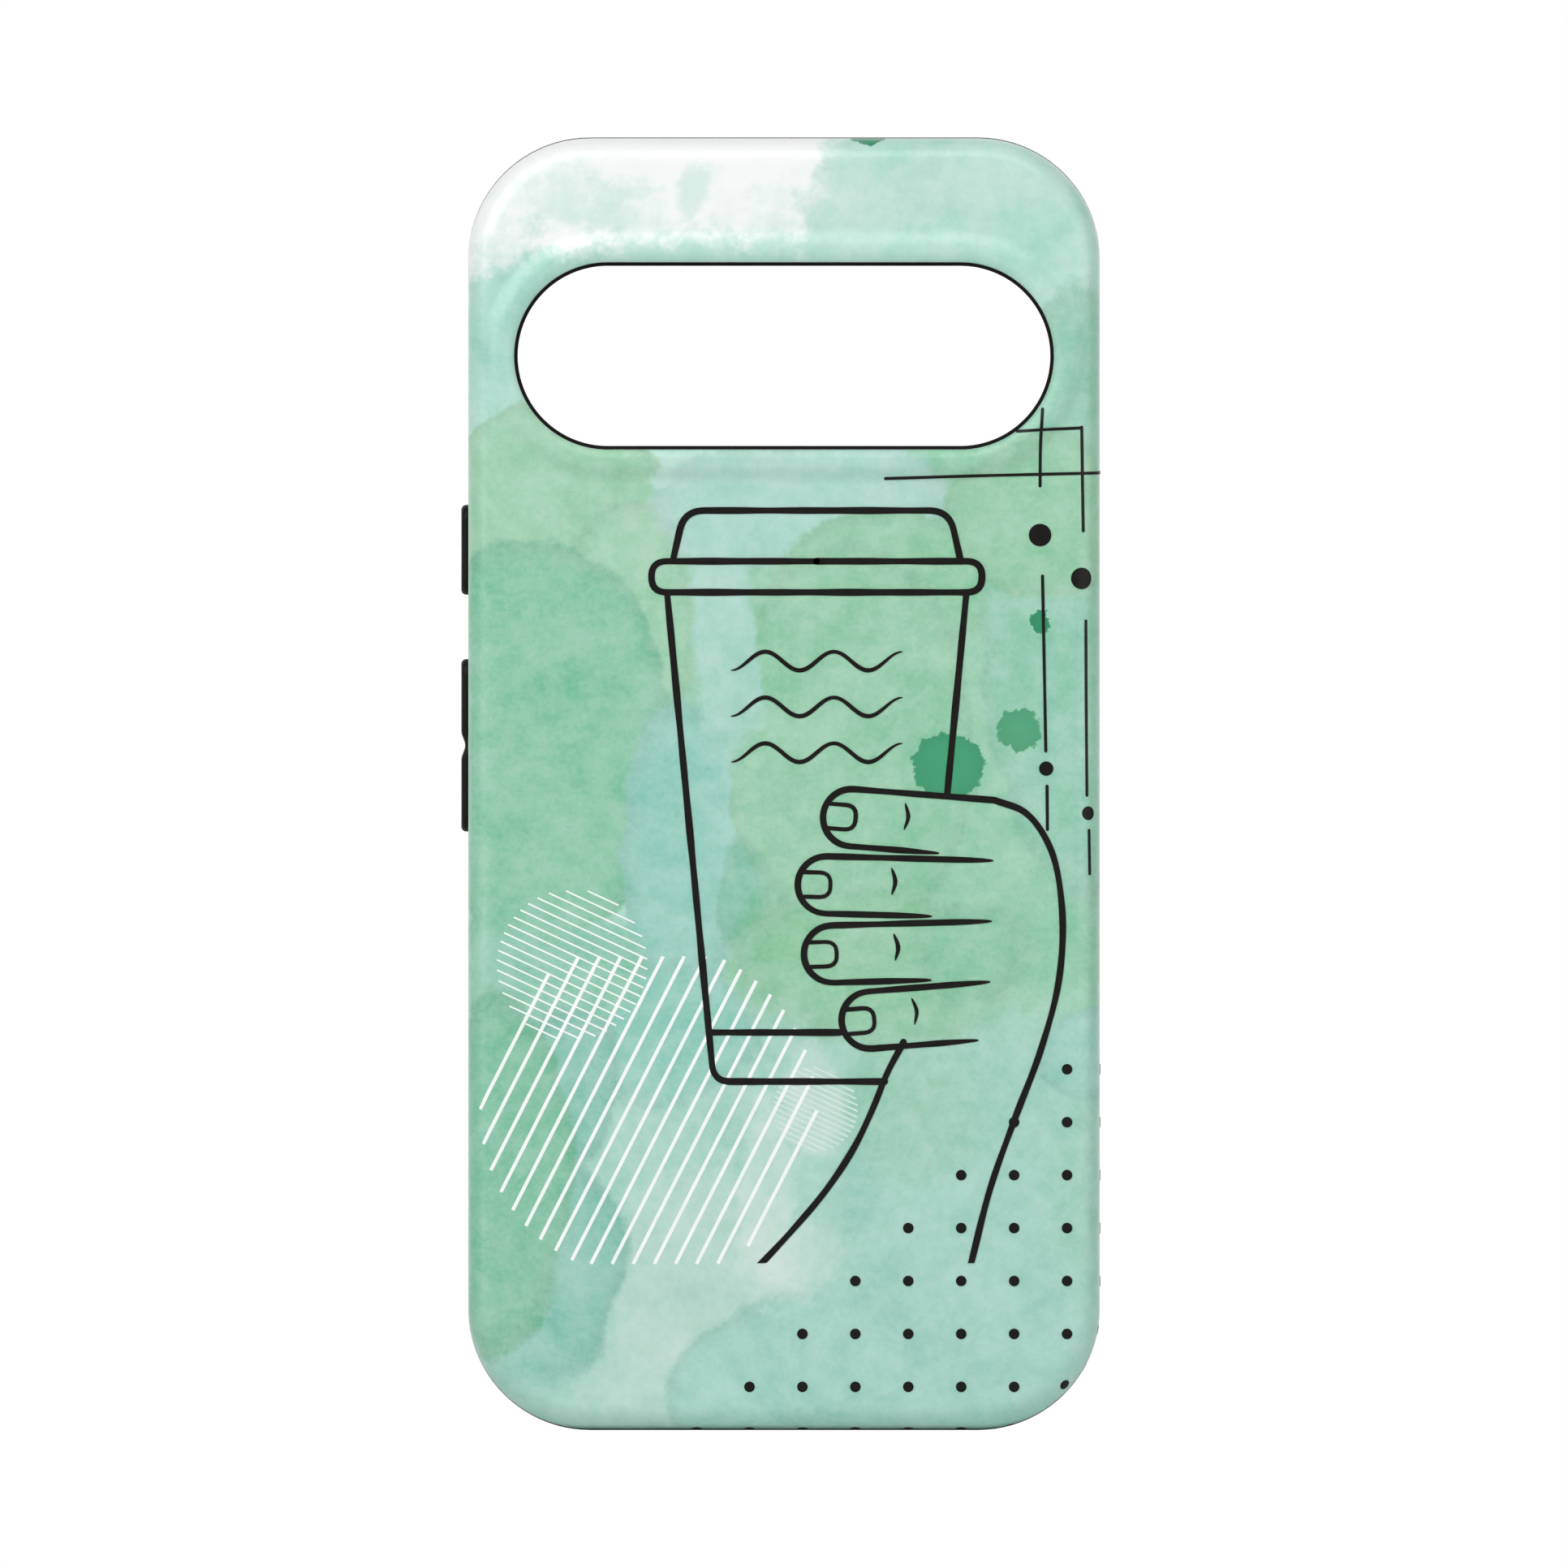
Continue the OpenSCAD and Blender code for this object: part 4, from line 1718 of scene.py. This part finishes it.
@dataclass(frozen=True)
class FrameLines:
    """Thin plain lines and dots down the right side, some running on round the edge."""

    ink: PrintedInk
    width: float = 0.37

    def build(self) -> bpy.types.Object:
        """Makes the lines and dots.

        Returns:
            The drawing.
        """
        lines = [
            ((12.4, 116.3), (26.0, 116.7), (43.5, 117.1)),
            ((31.6, 124.8), (31.35, 120.0), (31.3, 115.4)),
            ((28.5, 122.1), (32.0, 122.3), (36.4, 122.5)),
            ((36.4, 122.6), (36.5, 116.0), (36.6, 109.9)),
            ((31.6, 104.4), (31.8, 94.0), (32.0, 83.0)),
            ((36.95, 98.9), (37.0, 88.0), (37.1, 77.6)),
            ((32.15, 78.7), (32.2, 73.4)),
            ((37.4, 73.3), (37.5, 68.0)),
        ]
        strokes = [Stroke(points, self.width, step=0.5, uneven=0.04) for points in lines]
        dots = [(31.3, 109.4, 1.38), (36.4, 104.1, 1.32), (32.05, 80.85, 0.88), (37.3, 75.4, 0.84)]
        return InkDrawing("frame_lines", strokes, self.ink, "line_ink", dots=dots).build()


@dataclass(frozen=True)
class DotGrid:
    """A stair of small even dots in the lower right corner, running on round the edges."""

    ink: PrintedInk
    pitch: float = 6.47
    radius: float = 0.65
    corner: Point = (34.6, 44.1)
    rows: int = 8

    def build(self) -> bpy.types.Object:
        """Makes the dots.

        Returns:
            The drawing.
        """
        dots = []
        for row in range(self.rows):
            for column in range(-1, row + 1):
                place = (self.corner[0] - self.pitch * column, self.corner[1] - self.pitch * row)
                if not (column == -1 and row == self.rows - 1):
                    dots.append((*place, self.radius))
        return InkDrawing("dot_grid", [], self.ink, "line_ink", dots=dots).build()


@dataclass(frozen=True)
class Hatch:
    """Straight parallel lines that fill a round patch."""

    middle: Point
    radius: float
    angle: float
    pitch: float
    width: float
    half_height: float
    shortest: float = 2.0

    def strokes(self) -> list[Stroke]:
        """Lists the lines that cross the patch.

        Returns:
            The strokes.
        """
        way = np.array([math.cos(math.radians(self.angle)), math.sin(math.radians(self.angle))])
        square = np.array([-way[1], way[0]])
        count = int(self.radius / self.pitch)
        made = []
        for k in range(-count, count + 1):
            offset = k * self.pitch
            reach = math.sqrt(max(self.radius**2 - offset**2, 0))
            ends = []
            for sign in (-1, 1):
                point = square * offset + way * reach * sign
                if abs(point[1]) > self.half_height:
                    level = math.copysign(self.half_height, point[1])
                    point = square * offset + way * (level - square[1] * offset) / way[1]
                ends.append(tuple(point + self.middle))
            if math.dist(*ends) > self.shortest:
                cut = (Tip.CUT, Tip.CUT)
                made.append(Stroke(tuple(ends), self.width, cut, straight=True, step=1.0, uneven=0.0))
        return made


@dataclass(frozen=True)
class WhiteHatching:
    """The white hatched patches in the lower left, and a faint one by the wrist."""

    ink: PrintedInk
    faint_ink: PrintedInk
    fine: Hatch = Hatch((-25.9, 56.9), 9.2, -25.0, 1.12, 0.2, 9.0)
    broad: Hatch = Hatch((-16.6, 39.1), 20.6, 63.0, 2.3, 0.44, 18.8)
    faint: Hatch = Hatch((3.8, 39.2), 5.2, -25.0, 0.66, 0.2, 5.2)

    def build(self) -> list[bpy.types.Object]:
        """Makes the patches.

        Returns:
            The opaque patches and the faint one.
        """
        strokes = [*self.fine.strokes(), *self.broad.strokes()]
        opaque = InkDrawing("white_hatching", strokes, self.ink, "white_ink", Layer.WHITE)
        faint = InkDrawing("faint_hatching", self.faint.strokes(), self.faint_ink, "white_ink", Layer.FAINT)
        return [opaque.build(), faint.build()]


# --- Studio ------------------------------------------------------------------


@dataclass(frozen=True)
class Softbox:
    """One soft light: where it stands, how large it is and how strong."""

    name: str
    at: tuple[float, float, float]
    size: tuple[float, float]
    power: float
    mirrored: bool = True

    def place(self) -> None:
        """Puts the light up, turned to the case."""
        data = bpy.data.lights.new(self.name, "AREA")
        data.shape, data.size, data.size_y, data.energy = "RECTANGLE", *self.size, self.power
        light = bpy.data.objects.new(self.name, data)
        light.location, light.visible_camera, light.visible_glossy = self.at, False, self.mirrored
        to_case = Vector((0, 0, MIDDLE * MM)) - light.location
        light.rotation_euler = to_case.to_track_quat("-Z", "Y").to_euler()
        bpy.context.scene.collection.objects.link(light)


@dataclass(frozen=True)
class Studio:
    """A pale floor, soft lights, a white surround and the camera straight behind the case."""

    view_width: float = 0.19167
    camera_height: float = 0.07897
    floor_radius: float = 1000.0
    ambient: float = 0.25
    mirrored: float = 0.95
    lights: tuple[Softbox, ...] = (
        Softbox("key", (-0.85, -1.05, 0.9), (1.3, 1.3), 9.0),
        Softbox("fill", (0.95, -1.3, 0.1), (0.9, 1.2), 4.7),
        Softbox("left strip", (-0.85, -0.7, 0.1), (0.5, 1.4), 2.3),
        Softbox("top strip", (-0.1, -0.7, 1.0), (1.4, 0.5), 4.0),
        Softbox("right strip", (0.95, -0.5, 0.05), (0.5, 1.4), 2.8),
        Softbox("front side", (0.25, 1.4, 0.5), (1.0, 1.0), 11.0, False),
    )

    def _surround(self) -> None:
        """Makes a world that looks white, is a softer light, and is mirrored bright behind the case."""
        world = bpy.data.worlds.new("surround")
        world.use_nodes = True
        tree = world.node_tree
        tree.nodes.clear()
        kinds = ("LightPath", "TexCoord", "SeparateXYZ", "MapRange", "Math", "Background", "Background",
                 "MixShader", "OutputWorld")
        made = [tree.nodes.new(f"ShaderNode{kind}") for kind in kinds]
        path, where, parts, rise, level, light, seen, mix, out = made
        rise.inputs[1].default_value, rise.inputs[2].default_value = 0.0, 0.8
        rise.inputs[3].default_value, rise.inputs[4].default_value = 0.0, self.mirrored - self.ambient
        level.operation, level.inputs[2].default_value = "MULTIPLY_ADD", self.ambient
        for start, end in (
            (where.outputs["Generated"], parts.inputs[0]), (parts.outputs["Y"], rise.inputs[0]),
            (path.outputs["Is Glossy Ray"], level.inputs[0]), (rise.outputs[0], level.inputs[1]),
            (level.outputs[0], light.inputs[1]), (path.outputs["Is Camera Ray"], mix.inputs[0]),
            (light.outputs[0], mix.inputs[1]), (seen.outputs[0], mix.inputs[2]),
            (mix.outputs[0], out.inputs[0]),
        ):
            tree.links.new(start, end)
        for background in (light, seen):
            background.inputs[0].default_value = (1.0, 1.0, 1.0, 1.0)
        bpy.context.scene.world = world

    def _floor(self) -> None:
        """Lays the pale floor that the case stands on."""
        turn = np.linspace(0, 2 * math.pi, 180, endpoint=False)
        rim = np.stack([np.cos(turn), np.sin(turn), np.zeros(len(turn))], -1) * self.floor_radius
        body = Body()
        body.add(rim, [tuple(range(len(turn)))])
        pale = MouldedPlastic("pale studio floor", shade(236, 237, 237), shade(234, 235, 235), 0.7)
        body.make("studio_floor", [pale.dress()])

    def build(self) -> None:
        """Sets up the whole studio."""
        self._surround()
        self._floor()
        for light in self.lights:
            light.place()
        data = bpy.data.cameras.new("camera")
        data.type, data.ortho_scale = "ORTHO", self.view_width
        camera = bpy.data.objects.new("camera", data)
        camera.location = (0.0, -1.0, self.camera_height)
        camera.rotation_euler = (math.pi / 2, 0.0, 0.0)
        bpy.context.scene.collection.objects.link(camera)
        bpy.context.scene.camera = camera
        bpy.context.scene.view_settings.view_transform = "Standard"


def report(piece: bpy.types.Object) -> None:
    """Logs a finished piece."""
    LOG.info("%s: %d faces", piece.name, len(piece.data.polygons))


def main() -> None:
    """Builds the studio, the layers, the buttons and the drawing, in that order."""
    logging.basicConfig(level=logging.INFO, format="%(message)s")
    Studio().build()
    report(OuterShell().build())
    report(InnerLiner().build())
    cover_rubber = MouldedRubber("satin black cover rubber", rough=0.42).dress()
    web_rubber = MouldedRubber("thin matt black rubber", rough=0.62, relief=0.03).dress()
    for place in BUTTONS:
        report(ButtonCover(place).build(cover_rubber))
        report(ButtonCover(place).build_web(web_rubber))
    black = PrintedInk("black line ink", shade(21, 19, 18), shade(29, 27, 26))
    white = PrintedInk("white hatching ink", shade(253, 255, 254), shade(243, 250, 247))
    faint = PrintedInk("thin white hatching ink", shade(221, 236, 230), shade(208, 229, 221))
    report(CupDrawing(black).build())
    report(HandDrawing(black).build())
    report(FrameLines(black).build())
    report(DotGrid(black).build())
    for piece in WhiteHatching(white, faint).build():
        report(piece)


if __name__ == "__main__":
    main()
